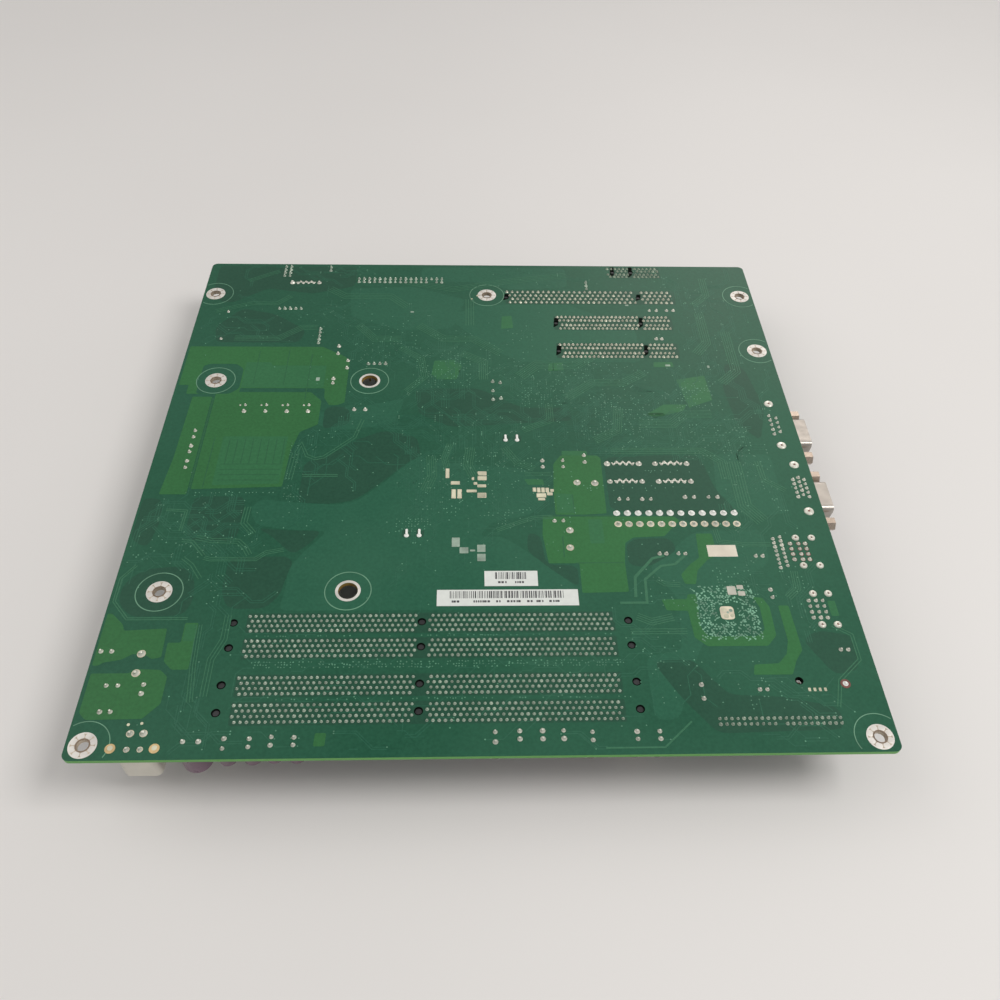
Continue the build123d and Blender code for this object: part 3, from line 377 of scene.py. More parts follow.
MOUNT_HOLES = [(5.6, 5.2), (260.6, 5.2), (5.6, 239.4), (136.3, 239.4), (260.6, 239.4), (260.6, 198.2)]
MOUNT_RADIUS = 1.98
MOUNT_RING = 4.5
COOLER_PLATED = [(16.7, 64.1), (16.7, 177.0)]
COOLER_CLEAR = [(83.8, 64.1), (83.8, 177.0)]
CLEAR_RADIUS = 3.5
KEEP_OUT = 8.3  # radius of the outline printed around a screw hole

DIMM_Y = (50.7, 40.54, 26.2, 16.04)
DIMM_PITCH = 2.0
DIMM_ROW_OFFSETS = (2.6, 0.6, -1.4, -3.4)
DIMM_START = 50.6
DIMM_KEY = 110.8
DIMM_END = 178.0

DIMM_PEGS = [(x, y) for x in (45.2, DIMM_KEY, 183.7) for y in DIMM_Y]
SLOT_PEGS = [(145.6, 238.1), (210.2, 238.1), (168.8, 218.3), (209.0, 218.3), (168.8, 198.0), (209.0, 198.0),
             (199.8, 259.0), (209.0, 259.0)]
SPARE_HOLE = (239.0, 26.0)  # a peg hole left empty
TOOLING_HOLE = (254.5, 24.7)  # closed by a joint
OPEN_PEGS = DIMM_PEGS + SLOT_PEGS + [SPARE_HOLE]
PEGS = OPEN_PEGS + [TOOLING_HOLE]
PEG_CUT = 1.35  # radius left free of copper and mask layers around each peg hole
DIMM_BORE = 1.25
OTHER_BORE = 1.15
LINING_DEPTH = -1.59  # the lining of a hole stops just short of the component face

ANCHOR_JOINTS = [(142.7, 141.2), (147.5, 141.2), (103.7, 90.4), (108.5, 90.4)]
SOUTHBRIDGE = (220.0, 53.5)

# copper areas of the solder side: outlines in board millimetres
PLANES = [
    # input power of the processor supply, around the upper cooler hole
    [(1.2, 200.0), (61.0, 200.0), (65.0, 197.5), (72.0, 193.0), (74.0, 189.0), (74.0, 163.0),
     (71.0, 161.3), (67.5, 161.3), (65.0, 166.0), (64.6, 172.0), (28.0, 172.0), (28.0, 168.3),
     (5.5, 168.3), (5.5, 174.0), (1.2, 174.0)],
    # output of the processor supply, under the socket
    [(18.2, 169.5), (59.0, 169.5), (64.0, 164.0), (64.0, 149.5), (61.0, 147.6), (57.0, 145.0),
     (54.5, 134.0), (53.6, 114.4), (18.2, 113.2)],
    [(8.6, 166.5), (17.0, 166.5), (17.0, 110.5), (6.4, 110.5), (8.0, 130.0)],
    # supply patches at the front left corner
    [(0.9, 55.0), (2.6, 54.8), (7.2, 50.4), (8.2, 47.8), (22.8, 48.6), (23.2, 37.0), (20.0, 36.4),
     (18.0, 38.0), (13.4, 38.4), (10.0, 36.2), (4.4, 35.2), (3.0, 34.0), (0.9, 34.0)],
    [(24.2, 42.8), (28.6, 42.8), (28.6, 50.8), (33.2, 50.8), (33.2, 32.2), (27.6, 32.2), (24.4, 35.4)],
    [(1.4, 31.0), (14.0, 31.0), (15.4, 32.6), (24.0, 32.2), (26.8, 29.6), (26.8, 19.6), (22.0, 14.2),
     (4.0, 14.0), (1.4, 16.6)],
    # supply area between the drive ports and the memory sockets
    [(165.0, 131.4), (180.0, 131.4), (181.4, 129.8), (181.0, 100.2), (172.8, 99.6), (161.0, 99.6),
     (161.0, 112.0), (161.8, 126.6)],
    [(156.0, 98.6), (207.0, 98.6), (209.0, 96.6), (202.0, 88.8), (190.0, 88.2), (186.6, 85.6),
     (185.4, 76.2), (185.4, 63.0), (168.4, 62.6), (168.4, 76.0), (157.0, 76.0), (155.4, 89.6)],
    # around the lower chip and towards the rear ports
    [(196.8, 59.6), (206.0, 59.6), (206.6, 61.8), (209.6, 61.8), (209.2, 47.0), (211.4, 43.8),
     (228.4, 43.8), (231.6, 46.4), (231.8, 56.0), (230.0, 60.4), (233.6, 60.0), (235.4, 56.0),
     (235.2, 44.0), (231.4, 39.8), (210.2, 39.8), (206.2, 43.4), (205.6, 54.6), (198.0, 54.8)],
    [(238.6, 56.6), (242.4, 56.6), (243.0, 38.0), (240.0, 34.0), (237.4, 28.4), (224.0, 28.4),
     (225.0, 32.4), (233.6, 32.8), (237.2, 36.6), (238.8, 42.0)],
    [(214.2, 90.0), (220.4, 90.0), (220.6, 79.4), (216.6, 77.4), (212.0, 72.4), (210.4, 66.2),
     (206.4, 66.4), (205.6, 70.6), (209.6, 75.2), (213.6, 78.4)],
    [(77.8, 4.0), (81.4, 4.0), (81.6, 8.6), (78.0, 8.6)],
]
PLANE_CLEARING = [(9.6, 186.6), (12.0, 188.0), (24.0, 188.0), (27.6, 184.8), (27.6, 171.8), (24.0, 168.4),
                  (9.6, 168.4)]

# areas of the supply planes that look greener, where inner copper lies close under them
INNER_LEAVES = [
    [(26.0, 142.4), (52.6, 142.4), (52.2, 116.0), (26.0, 115.2)],
    [(28.2, 189.2), (39.0, 189.2), (40.0, 187.0), (64.0, 187.0), (64.0, 172.4), (28.2, 172.4)],
    [(161.8, 110.6), (168.4, 110.2), (168.4, 100.6), (161.8, 100.6)],
    [(173.4, 97.2), (178.8, 97.2), (178.8, 85.4), (173.4, 85.4)],
    [(29.0, 50.2), (32.6, 50.2), (32.6, 43.4), (29.0, 43.4)],
    # small patches away from the planes
    [(142.6, 213.6), (148.4, 214.2), (147.8, 223.4), (143.2, 222.8)],
    [(163.0, 183.8), (170.2, 184.4), (169.8, 189.4), (163.6, 189.0)],
    [(211.0, 186.6), (220.2, 186.8), (220.0, 190.2), (211.4, 190.0)],
    [(257.0, 52.0), (259.8, 52.0), (259.8, 58.6), (257.0, 58.6)],
    [(149.6, 118.2), (157.0, 118.2), (157.6, 115.2), (151.0, 115.2)],
    [(112.0, 190.6), (121.0, 191.2), (124.4, 187.4), (122.0, 178.0), (113.6, 178.0), (110.8, 181.4)],
    [(220.0, 178.0), (233.0, 181.0), (234.0, 165.0), (223.0, 160.0)],
    [(204.0, 156.0), (212.0, 162.0), (222.0, 162.0), (220.0, 158.0), (207.0, 153.6)],
    [(165.6, 131.4), (176.0, 131.4), (176.0, 134.0), (165.6, 134.0)],
]

# large inner planes, seen as paler or darker areas through the mask
PALE_AREAS = [
    [(43.0, 103.0), (46.0, 108.0), (61.0, 106.0), (76.0, 105.0), (84.0, 107.0), (94.0, 117.0), (106.0, 131.0),
     (112.0, 128.0), (150.0, 124.0), (160.0, 110.0), (152.0, 100.0), (136.0, 96.0), (131.0, 89.0),
     (141.0, 88.6), (152.0, 79.0), (166.0, 66.0), (166.0, 55.6), (60.0, 55.6), (61.4, 66.0), (61.2, 74.0),
     (66.0, 82.0), (74.0, 92.0), (58.0, 92.6), (46.0, 95.0)],
    [(118.0, 222.0), (132.0, 232.0), (176.0, 232.0), (206.0, 213.0), (206.0, 190.0), (150.0, 190.0),
     (132.0, 204.0)],
    [(70.0, 244.0), (100.0, 246.0), (126.0, 236.0), (120.0, 214.0), (96.0, 212.0), (72.0, 222.0)],
    [(228.0, 132.0), (252.0, 132.0), (252.0, 100.0), (236.0, 98.0), (226.0, 108.0)],
    [(188.0, 36.0), (201.0, 38.0), (203.0, 60.0), (194.0, 74.0), (214.0, 91.0), (240.0, 92.0),
     (240.0, 76.0), (222.0, 64.0), (206.0, 36.0), (196.0, 12.0), (188.0, 12.0)],
    [(104.0, 262.0), (176.0, 262.0), (176.0, 246.0), (150.0, 244.0), (130.0, 250.0), (104.0, 250.0)],
    [(60.0, 156.0), (74.0, 158.0), (100.0, 166.0), (96.0, 150.0), (76.0, 146.0), (65.0, 148.0)],
]
DARK_AREAS = [
    [(61.0, 128.0), (60.6, 106.0), (74.0, 105.4), (83.0, 107.4), (92.0, 116.0), (103.0, 128.0),
     (108.0, 131.0), (106.0, 142.0), (92.0, 146.0), (80.0, 140.0), (70.0, 131.0)],
    [(39.0, 79.0), (46.0, 79.6), (60.0, 79.8), (62.6, 77.0), (61.0, 71.0), (59.6, 62.0), (55.0, 56.6),
     (42.0, 56.6), (38.6, 64.0)],
    [(47.0, 93.4), (56.0, 92.4), (72.0, 91.8), (67.0, 85.0), (62.0, 80.6), (57.4, 85.0), (53.0, 89.6)],
    [(20.4, 109.4), (40.0, 109.4), (41.0, 98.0), (39.6, 87.4), (24.0, 86.6), (20.4, 92.0)],
    [(0.8, 109.0), (8.6, 108.0), (10.0, 97.0), (8.0, 84.0), (0.8, 88.0)],
    [(182.6, 130.0), (206.0, 131.6), (222.6, 131.0), (226.0, 112.0), (232.0, 102.4), (222.0, 91.6),
     (208.6, 98.0), (182.6, 102.0)],
    [(150.0, 91.0), (154.6, 89.0), (156.0, 75.4), (167.6, 75.0), (167.6, 64.8), (158.0, 73.0), (149.0, 82.0)],
    [(186.6, 75.0), (187.0, 85.0), (190.6, 87.6), (204.0, 87.8), (206.0, 82.0), (194.0, 74.0)],
    [(203.6, 35.0), (214.0, 21.0), (232.0, 20.0), (250.0, 16.0), (250.0, 8.0), (208.0, 7.0), (198.0, 20.0),
     (190.0, 34.0)],
    [(244.0, 42.0), (250.0, 46.0), (262.0, 44.0), (261.0, 30.0), (252.0, 28.0)],
    [(9.0, 74.0), (20.0, 75.4), (25.6, 74.0), (28.6, 68.0), (29.4, 60.0), (27.0, 54.0), (9.0, 53.4),
     (3.0, 60.0), (3.4, 68.0)],
    [(4.0, 262.6), (36.0, 262.0), (72.0, 262.6), (72.0, 246.0), (52.0, 240.0), (30.0, 244.0), (14.0, 232.0),
     (4.0, 236.0)],
    [(66.0, 160.4), (76.0, 160.4), (78.0, 150.0), (66.0, 146.6)],
    [(104.0, 172.0), (132.0, 172.0), (150.0, 160.0), (170.0, 160.0), (172.0, 152.0), (120.0, 148.0),
     (106.0, 156.0)],
    [(20.0, 228.0), (36.0, 224.0), (52.0, 212.0), (50.0, 203.0), (12.0, 203.0), (10.0, 214.0)],
    [(244.0, 190.0), (252.0, 186.0), (256.0, 160.0), (250.0, 140.0), (242.0, 150.0), (240.0, 172.0)],
]

# light traces that show through the mask: points, how many run side by side, their spacing and width
TRACES = [
    ([(200.6, 79.4), (196.0, 78.2), (188.4, 69.6), (187.6, 60.6)], 1, 0.0, 1.1),
    ([(208.4, 79.4), (204.0, 75.4), (198.6, 74.6), (192.0, 68.6), (191.4, 58.2), (181.6, 58.2)], 1, 0.0, 1.0),
    ([(171.0, 2.4), (190.0, 2.4), (200.0, 11.4)], 1, 0.0, 0.6),
    ([(57.0, 133.0), (58.6, 138.0), (61.4, 131.4), (65.0, 129.6), (68.4, 130.6), (80.0, 142.0),
      (82.6, 152.4)], 2, 1.2, 0.4),
    ([(55.6, 118.0), (56.8, 133.0)], 3, 1.3, 0.35),
    ([(61.0, 120.4), (75.0, 120.4)], 2, 1.0, 0.45),
    ([(29.0, 52.6), (8.0, 52.6), (1.8, 60.0), (1.8, 70.0), (6.0, 76.0)], 2, 0.8, 0.4),
    ([(29.4, 80.4), (24.0, 87.0), (20.0, 87.4)], 2, 1.0, 0.4),
    ([(29.6, 79.4), (32.0, 78.6), (48.6, 78.6), (52.0, 81.6), (58.4, 83.0)], 3, 0.8, 0.35),
    ([(25.0, 89.0), (31.0, 87.4), (41.0, 87.0), (44.0, 84.0), (46.0, 80.6)], 3, 1.0, 0.35),
    ([(18.4, 92.0), (18.8, 102.0), (11.0, 102.6)], 2, 0.8, 0.4),
    ([(42.0, 104.0), (41.6, 96.0), (46.0, 90.6)], 3, 1.1, 0.4),
    ([(33.6, 50.0), (34.4, 34.0), (36.0, 20.0)], 3, 0.9, 0.3),
    ([(30.0, 70.0), (26.0, 76.0), (22.0, 79.4)], 2, 1.2, 0.35),
    ([(112.0, 131.0), (112.6, 120.0), (110.0, 112.0)], 5, 0.9, 0.3),
    ([(128.0, 136.0), (127.0, 126.0), (129.6, 119.4)], 5, 0.9, 0.3),
    ([(119.6, 138.0), (117.4, 130.0), (118.6, 125.0)], 4, 0.8, 0.3),
    ([(138.0, 92.0), (152.0, 98.0), (160.0, 98.6)], 3, 0.8, 0.3),
    ([(142.0, 136.0), (147.0, 127.6), (154.0, 124.0)], 4, 0.9, 0.3),
    ([(150.0, 121.0), (160.4, 121.0)], 3, 0.9, 0.3),
    ([(186.0, 134.0), (224.0, 134.0), (231.0, 128.0), (231.0, 118.0)], 4, 1.0, 0.35),
    ([(236.0, 128.0), (236.0, 104.0), (241.6, 96.0)], 6, 1.1, 0.35),
    ([(246.0, 128.0), (246.6, 118.0), (254.0, 112.0)], 3, 1.0, 0.35),
    ([(222.0, 92.0), (222.6, 86.0), (232.0, 84.6), (242.0, 84.6)], 3, 0.8, 0.3),
    ([(204.6, 66.0), (199.0, 66.4), (196.4, 68.4)], 3, 0.9, 0.3),
    ([(200.0, 52.0), (192.0, 50.0), (187.0, 52.4)], 4, 0.9, 0.3),
    ([(184.0, 46.0), (204.0, 46.0)], 3, 1.0, 0.3),
    ([(256.0, 48.0), (262.0, 44.0), (262.0, 34.0), (253.0, 26.0), (250.0, 16.0)], 2, 1.0, 0.35),
    ([(243.0, 60.0), (247.4, 64.0), (248.0, 72.0)], 4, 0.8, 0.3),
    ([(186.0, 196.0), (176.0, 188.0), (158.0, 188.0), (150.0, 180.0)], 6, 1.0, 0.3),
    ([(206.0, 183.0), (196.0, 176.0), (182.0, 176.0), (170.0, 166.0)], 5, 1.0, 0.3),
    ([(104.0, 216.0), (116.0, 206.0), (130.0, 206.0), (142.0, 196.0)], 5, 1.0, 0.3),
    ([(96.0, 200.0), (106.0, 192.0), (108.0, 180.0), (100.0, 170.0)], 4, 0.9, 0.3),
    ([(124.0, 196.0), (134.0, 190.0), (134.0, 178.0)], 5, 0.9, 0.3),
    ([(128.0, 216.0), (128.0, 236.0)], 4, 1.2, 0.35),
    ([(96.0, 250.0), (120.0, 244.0), (146.0, 250.6), (176.0, 256.0)], 4, 1.2, 0.3),
    ([(60.0, 244.0), (68.0, 238.0), (90.0, 238.0), (98.0, 230.0)], 4, 1.2, 0.35),
    ([(20.0, 250.0), (30.0, 256.0), (34.0, 258.0)], 3, 1.0, 0.35),
    ([(20.0, 206.0), (40.0, 206.0), (50.0, 214.0), (57.0, 214.0)], 4, 1.0, 0.35),
    ([(8.0, 226.0), (24.0, 232.0), (36.0, 232.0), (42.0, 238.0)], 3, 1.1, 0.35),
    ([(76.0, 216.0), (84.0, 206.0), (96.0, 206.0)], 5, 0.9, 0.3),
    ([(240.0, 176.0), (248.0, 184.0), (248.0, 212.0)], 5, 1.0, 0.35),
    ([(232.0, 196.0), (238.0, 204.0), (238.0, 226.0)], 5, 1.0, 0.35),
    ([(200.0, 150.0), (214.0, 150.0), (220.0, 156.0), (232.0, 156.0)], 6, 0.9, 0.3),
    ([(180.0, 140.0), (190.0, 146.0), (192.0, 160.0)], 5, 0.9, 0.3),
    ([(150.0, 146.0), (162.0, 152.0), (162.0, 162.0)], 4, 0.9, 0.3),
    ([(236.0, 232.0), (244.0, 240.0), (244.0, 254.0)], 4, 1.0, 0.35),
    ([(40.0, 22.0), (40.0, 36.0), (43.0, 44.0), (43.0, 54.0)], 3, 1.1, 0.3),
]

# fields of small plated-through holes under the mask: x, y, length, width, pitch, share filled
VIA_FIELDS = [
    (117.5, 33.7, 128.0, 3.0, 1.0, 0.50),
    (117.5, 45.4, 128.0, 1.6, 1.0, 0.28),
    (117.5, 21.1, 128.0, 1.8, 1.0, 0.30),
    (125.6, 116.0, 34.0, 38.0, 1.6, 0.16),
    (106.0, 95.0, 14.0, 8.0, 1.2, 0.45),
    (58.0, 110.0, 10.0, 8.0, 1.3, 0.40),
    (56.0, 126.0, 4.0, 26.0, 1.3, 0.40),
    (35.0, 111.0, 38.0, 3.2, 1.3, 0.30),
    (40.0, 99.0, 42.0, 10.0, 2.0, 0.12),
    (12.0, 90.0, 22.0, 24.0, 1.8, 0.14),
    (38.0, 86.0, 30.0, 10.0, 1.6, 0.14),
    (38.0, 66.0, 8.0, 14.0, 1.6, 0.20),
    (18.0, 81.0, 34.0, 4.0, 1.6, 0.20),
    (116.5, 184.5, 26.0, 24.0, 1.4, 0.28),
    (162.0, 169.0, 24.0, 20.0, 1.4, 0.30),
    (192.0, 156.0, 34.0, 26.0, 1.5, 0.26),
    (228.0, 168.0, 22.0, 20.0, 1.4, 0.30),
    (231.0, 140.0, 30.0, 22.0, 1.5, 0.28),
    (184.0, 181.0, 46.0, 20.0, 1.8, 0.18),
    (190.0, 114.0, 40.0, 5.0, 1.3, 0.22),
    (206.0, 123.2, 36.0, 2.0, 1.3, 0.25),
    (138.0, 196.0, 44.0, 36.0, 2.2, 0.14),
    (100.0, 208.0, 44.0, 28.0, 2.2, 0.12),
    (68.0, 222.0, 36.0, 30.0, 2.2, 0.12),
    (30.0, 218.0, 40.0, 30.0, 2.6, 0.08),
    (240.0, 214.0, 18.0, 60.0, 2.2, 0.14),
    (244.0, 120.0, 20.0, 34.0, 1.8, 0.16),
    (200.0, 64.0, 22.0, 16.0, 1.8, 0.12),
    (224.0, 69.0, 14.0, 8.0, 1.3, 0.30),
    (206.0, 30.0, 44.0, 26.0, 2.2, 0.10),
    (250.0, 66.0, 14.0, 8.0, 1.6, 0.20),
    (228.0, 20.0, 30.0, 10.0, 1.5, 0.14),
    (220.0, 250.0, 60.0, 14.0, 2.4, 0.12),
    (146.0, 98.0, 16.0, 10.0, 1.4, 0.28),
    (148.0, 128.0, 14.0, 12.0, 1.4, 0.25),
    (88.0, 200.0, 20.0, 16.0, 1.6, 0.20),
    (20.0, 12.4, 8.0, 2.0, 1.4, 0.4),
    (58.0, 7.0, 40.0, 8.0, 2.6, 0.14),
    (164.0, 105.0, 12.0, 40.0, 2.4, 0.20),
    (133.0, 133.0, 150.0, 150.0, 6.0, 0.12),
    (133.0, 133.0, 256.0, 254.0, 8.0, 0.12),
]


# ---------------------------------------------------------------- solder side: copper and mask

DICE = random.Random(7)


def steps_from(start, count, pitch):
    """Evenly spaced numbers."""
    return [start + i * pitch for i in range(count)]


# heights of the flat layers; they reach a little into the board, so no two faces coincide
SINK = -0.02
PALE_LEVEL = 0.006
DARK_LEVEL = 0.010
PAD_SHADE_LEVEL = 0.014
COPPER_LEVEL = 0.030
LEAF_LEVEL = 0.034
GAP_LEVEL = 0.038
INK_LEVEL = 0.044
TRACE_LEVEL = 0.047
PAD_LEVEL = 0.05
LEVEL_STEP = 0.0012  # between traces that may cross


def ringed(centres, radius, steps=36):
    """Circles about several centres."""
    return [circle_outline(x, y, radius, steps) for x, y in centres]


def sheet_piece(name, outlines, holes, high, material, place=at, round_by=0.0):
    """One flat layer of the board made from several outlines."""
    bm = bmesh.new()
    shapes = [rounded(outline, round_by) if round_by else outline for outline in outlines]
    add_sheet(bm, shapes, holes, SINK, high, place)
    return finish_piece(name, bm, [material])


HOLE_CUTS = (ringed(MOUNT_HOLES, MOUNT_RADIUS + 0.3) + ringed(COOLER_PLATED, 2.3)
             + ringed(COOLER_CLEAR, CLEAR_RADIUS + 0.3) + ringed(PEGS, PEG_CUT, 20))
KEEP_OUTS = ringed(COOLER_PLATED + COOLER_CLEAR, KEEP_OUT)

sheet_piece("inner_plane_tone", PALE_AREAS, HOLE_CUTS, PALE_LEVEL, PALE_MASK,
            round_by=3.5)
sheet_piece("inner_gap_tone", DARK_AREAS, HOLE_CUTS, DARK_LEVEL, GAP_TONE_AND_PAINTED_SHADE,
            round_by=3.5)
CLEARINGS = KEEP_OUTS + [rounded(PLANE_CLEARING, 1.5)]
sheet_piece("copper_planes", PLANES, HOLE_CUTS + CLEARINGS, COPPER_LEVEL, COPPER_MASK,
            round_by=0.7)
sheet_piece("inner_copper_tone", INNER_LEAVES, HOLE_CUTS + CLEARINGS, LEAF_LEVEL, LEAF_MASK,
            round_by=0.5)


# painted shade: darker mask under the rows of socket and slot joints and beside the heatsink anchors, where
# shade lies between the joints
PAD_FIELD_SHADE = [box_outline(114.3, y - 0.4, 129.0, 8.4) for y in DIMM_Y]
PAD_FIELD_SHADE += [box_outline(186.8, 238.0, 83.0, 10.8), box_outline(196.0, 218.3, 56.5, 10.6),
                  box_outline(196.0, 198.0, 56.5, 10.6), box_outline(211.0, 258.4, 25.0, 9.0)]
PAD_FIELD_SHADE += [box_outline(x, y, 3.6, 3.4) for x, y in ANCHOR_JOINTS]
sheet_piece("painted_shade_at_pad_fields", PAD_FIELD_SHADE, HOLE_CUTS, PAD_SHADE_LEVEL, GAP_TONE_AND_PAINTED_SHADE,
            round_by=0.8)

# painted shade: dark wedges around the slots' pegs, standing for the shadow in and beside the peg holes: x,
# y, width, and reach to each side of the peg
SLOT_SHADE_WEDGES = [(168.6, 218.3, 2.6, 3.6), (209.0, 218.3, 2.4, 4.0), (168.6, 198.0, 2.6, 3.6),
               (209.0, 198.0, 2.4, 4.0), (145.6, 238.0, 3.0, 2.6), (210.2, 238.0, 2.6, 2.6),
               (199.4, 258.8, 2.4, 4.4), (208.6, 258.8, 2.4, 4.4)]
peg_shade_mesh = bmesh.new()
for x, y, width, reach in SLOT_SHADE_WEDGES:
    outline = rounded([(x - width / 2, y - reach), (x + width * 0.4, y - reach * 0.5),
                       (x + width * 0.6, y + reach), (x - width * 0.2, y + reach)], 0.5, 3)
    pegs = [circle_outline(px, py, 1.11, 20) for px, py in PEGS if abs(px - x) < 1 and abs(py - y) < 1]
    add_sheet(peg_shade_mesh, [outline], pegs, SINK, 0.02)
# the linings of the open peg holes, and a ring on the mask round those that are not the slots', painted black
# as the shade in the holes
for x, y in OPEN_PEGS:
    bore = DIMM_BORE if (x, y) in DIMM_PEGS else OTHER_BORE
    lip = circle_outline(x, y, bore - 0.04, 24)
    add_sheet(peg_shade_mesh, [circle_outline(x, y, bore + 0.01, 24)], [lip], LINING_DEPTH, -0.01)
    if (x, y) not in SLOT_PEGS:
        add_sheet(peg_shade_mesh, [circle_outline(x, y, bore + 0.28, 24)], [lip], SINK, 0.02)
finish_piece("painted_peg_shade", peg_shade_mesh, [PAINTED_HOLE_SHADE])

stripe_mesh = bmesh.new()
for x in steps_from(29.0, 8, 3.2):
    add_slab(stripe_mesh, box_outline(x, 134.0, 0.4, 14.0), SINK, GAP_LEVEL)
for y in steps_from(118.0, 4, 2.9):
    add_slab(stripe_mesh, box_outline(39.6, y, 24.0, 0.4), SINK, GAP_LEVEL)
for x, y, length, width in ((33.2, 186.0, 0.35, 22.0), (46.4, 186.0, 0.4, 24.0), (56.8, 180.0, 0.4, 30.0),
                            (17.6, 140.0, 0.7, 52.0), (22.6, 128.0, 0.4, 28.0), (168.4, 105.0, 0.4, 10.0),
                            (171.0, 98.9, 30.0, 0.45), (176.0, 76.2, 18.0, 0.4), (163.0, 84.0, 0.5, 10.0)):
    add_slab(stripe_mesh, box_outline(x, y, length, width), SINK, GAP_LEVEL)
finish_piece("plane_gaps", stripe_mesh, [LEAF_LINE_MASK])


def shifted(points, offset):
    """A line through points moved sideways by an offset, corners kept square to it."""
    spots = [Vector(p) for p in points]
    out = []
    for i, spot in enumerate(spots):
        before = (spot - spots[i - 1]).normalized() if i else None
        after = (spots[i + 1] - spot).normalized() if i + 1 < len(spots) else None
        run = ((before or after) + (after or before)).normalized()
        side = Vector((-run.y, run.x))
        stretch = 1.0
        if before:
            stretch = 1.0 / max(0.5, side.dot(Vector((-before.y, before.x))))
        out.append(tuple(spot + side * (offset * stretch)))
    return out


trace_mesh = bmesh.new()
for number, (line, lanes, gap, width) in enumerate(TRACES):
    level = TRACE_LEVEL + LEVEL_STEP * (number % 8)
    for lane in range(lanes):
        add_ribbon(trace_mesh, shifted(line, (lane - (lanes - 1) / 2) * gap), width, SINK, level)
finish_piece("traces", trace_mesh, [TRACE_MASK])

# fine routing: x, y, length, width of each field, bundles in it, most lanes, and whether it runs upward
ROUTE_FIELDS = [
    (12.0, 92.0, 22.0, 30.0, 16, 3, None), (34.0, 92.0, 26.0, 26.0, 18, 4, None),
    (12.0, 78.0, 22.0, 16.0, 8, 2, None), (40.0, 70.0, 20.0, 26.0, 6, 3, None),
    (60.0, 124.0, 10.0, 34.0, 14, 2, True), (75.0, 136.0, 26.0, 26.0, 9, 3, None),
    (114.0, 120.0, 24.0, 34.0, 40, 3, True), (132.0, 126.0, 24.0, 28.0, 18, 3, True),
    (150.0, 110.0, 26.0, 30.0, 14, 3, None), (150.0, 146.0, 30.0, 26.0, 12, 4, None),
    (116.0, 170.0, 30.0, 34.0, 18, 4, None), (90.0, 150.0, 26.0, 16.0, 8, 4, False),
    (162.0, 170.0, 28.0, 24.0, 18, 4, None), (190.0, 162.0, 34.0, 30.0, 24, 4, None),
    (190.0, 146.0, 36.0, 18.0, 14, 4, None), (228.0, 166.0, 24.0, 30.0, 22, 4, None),
    (232.0, 140.0, 26.0, 26.0, 16, 4, None), (238.0, 114.0, 24.0, 28.0, 16, 4, True),
    (184.0, 182.0, 50.0, 18.0, 14, 4, None), (140.0, 196.0, 36.0, 30.0, 12, 4, None),
    (100.0, 210.0, 44.0, 32.0, 14, 4, None), (70.0, 226.0, 40.0, 26.0, 10, 3, None),
    (28.0, 216.0, 44.0, 26.0, 10, 2, None), (14.0, 248.0, 20.0, 26.0, 5, 2, None),
    (80.0, 256.0, 60.0, 12.0, 6, 3, False), (150.0, 250.0, 60.0, 14.0, 8, 3, False),
    (238.0, 214.0, 20.0, 60.0, 18, 4, True), (230.0, 248.0, 30.0, 20.0, 8, 3, None),
    (198.0, 52.0, 14.0, 34.0, 14, 3, False), (224.0, 72.0, 22.0, 12.0, 10, 2, None),
    (246.0, 62.0, 12.0, 36.0, 10, 3, True), (200.0, 34.0, 30.0, 22.0, 8, 3, None),
    (228.0, 22.0, 50.0, 12.0, 10, 2, None), (222.0, 5.0, 70.0, 6.0, 5, 2, False),
    (110.0, 6.0, 120.0, 7.0, 10, 2, False), (36.0, 30.0, 8.0, 46.0, 10, 2, True),
    (115.0, 33.8, 126.0, 4.0, 26, 1, False), (115.0, 21.2, 126.0, 3.0, 16, 1, False),
    (115.0, 45.6, 126.0, 2.2, 10, 1, False), (110.0, 80.0, 60.0, 40.0, 9, 2, None),
    (80.0, 176.0, 30.0, 20.0, 12, 3, None), (86.0, 196.0, 26.0, 22.0, 12, 3, None),
    (206.0, 136.0, 34.0, 6.0, 8, 3, False), (256.0, 186.0, 12.0, 60.0, 8, 3, True),
    (256.0, 224.0, 10.0, 20.0, 4, 2, True), (64.0, 250.0, 26.0, 22.0, 8, 2, None),
]
NO_TRACES = PLANES + HOLE_CUTS + ringed(MOUNT_HOLES + COOLER_PLATED + COOLER_CLEAR, KEEP_OUT + 0.5, 20)


def clear_run(start, end):
    """Whether a straight run of trace keeps to the bare mask."""
    for step in range(5):
        x, y = start.lerp(end, step / 4)
        if not (2.0 < x < BOARD_LENGTH - 2.0 and 2.0 < y < BOARD_WIDTH - 2.0):
            return False
        if any(inside((x, y), area) for area in NO_TRACES):
            return False
    return True


def random_route(x, y, heading):
    """A trace that wanders off in straight runs with 45 degree turns."""
    points = [Vector((x, y))]
    turn = DICE.choice((-1, 1))
    for _ in range(DICE.choice((3, 3, 4, 5))):
        direction = Vector((math.cos(math.radians(heading)), math.sin(math.radians(heading))))
        following = points[-1] + direction * DICE.uniform(2.5, 9.0)
        if not clear_run(points[-1], following):
            break
        points.append(following)
        heading += 45 * turn
        turn = -turn if DICE.random() < 0.8 else turn
    return points


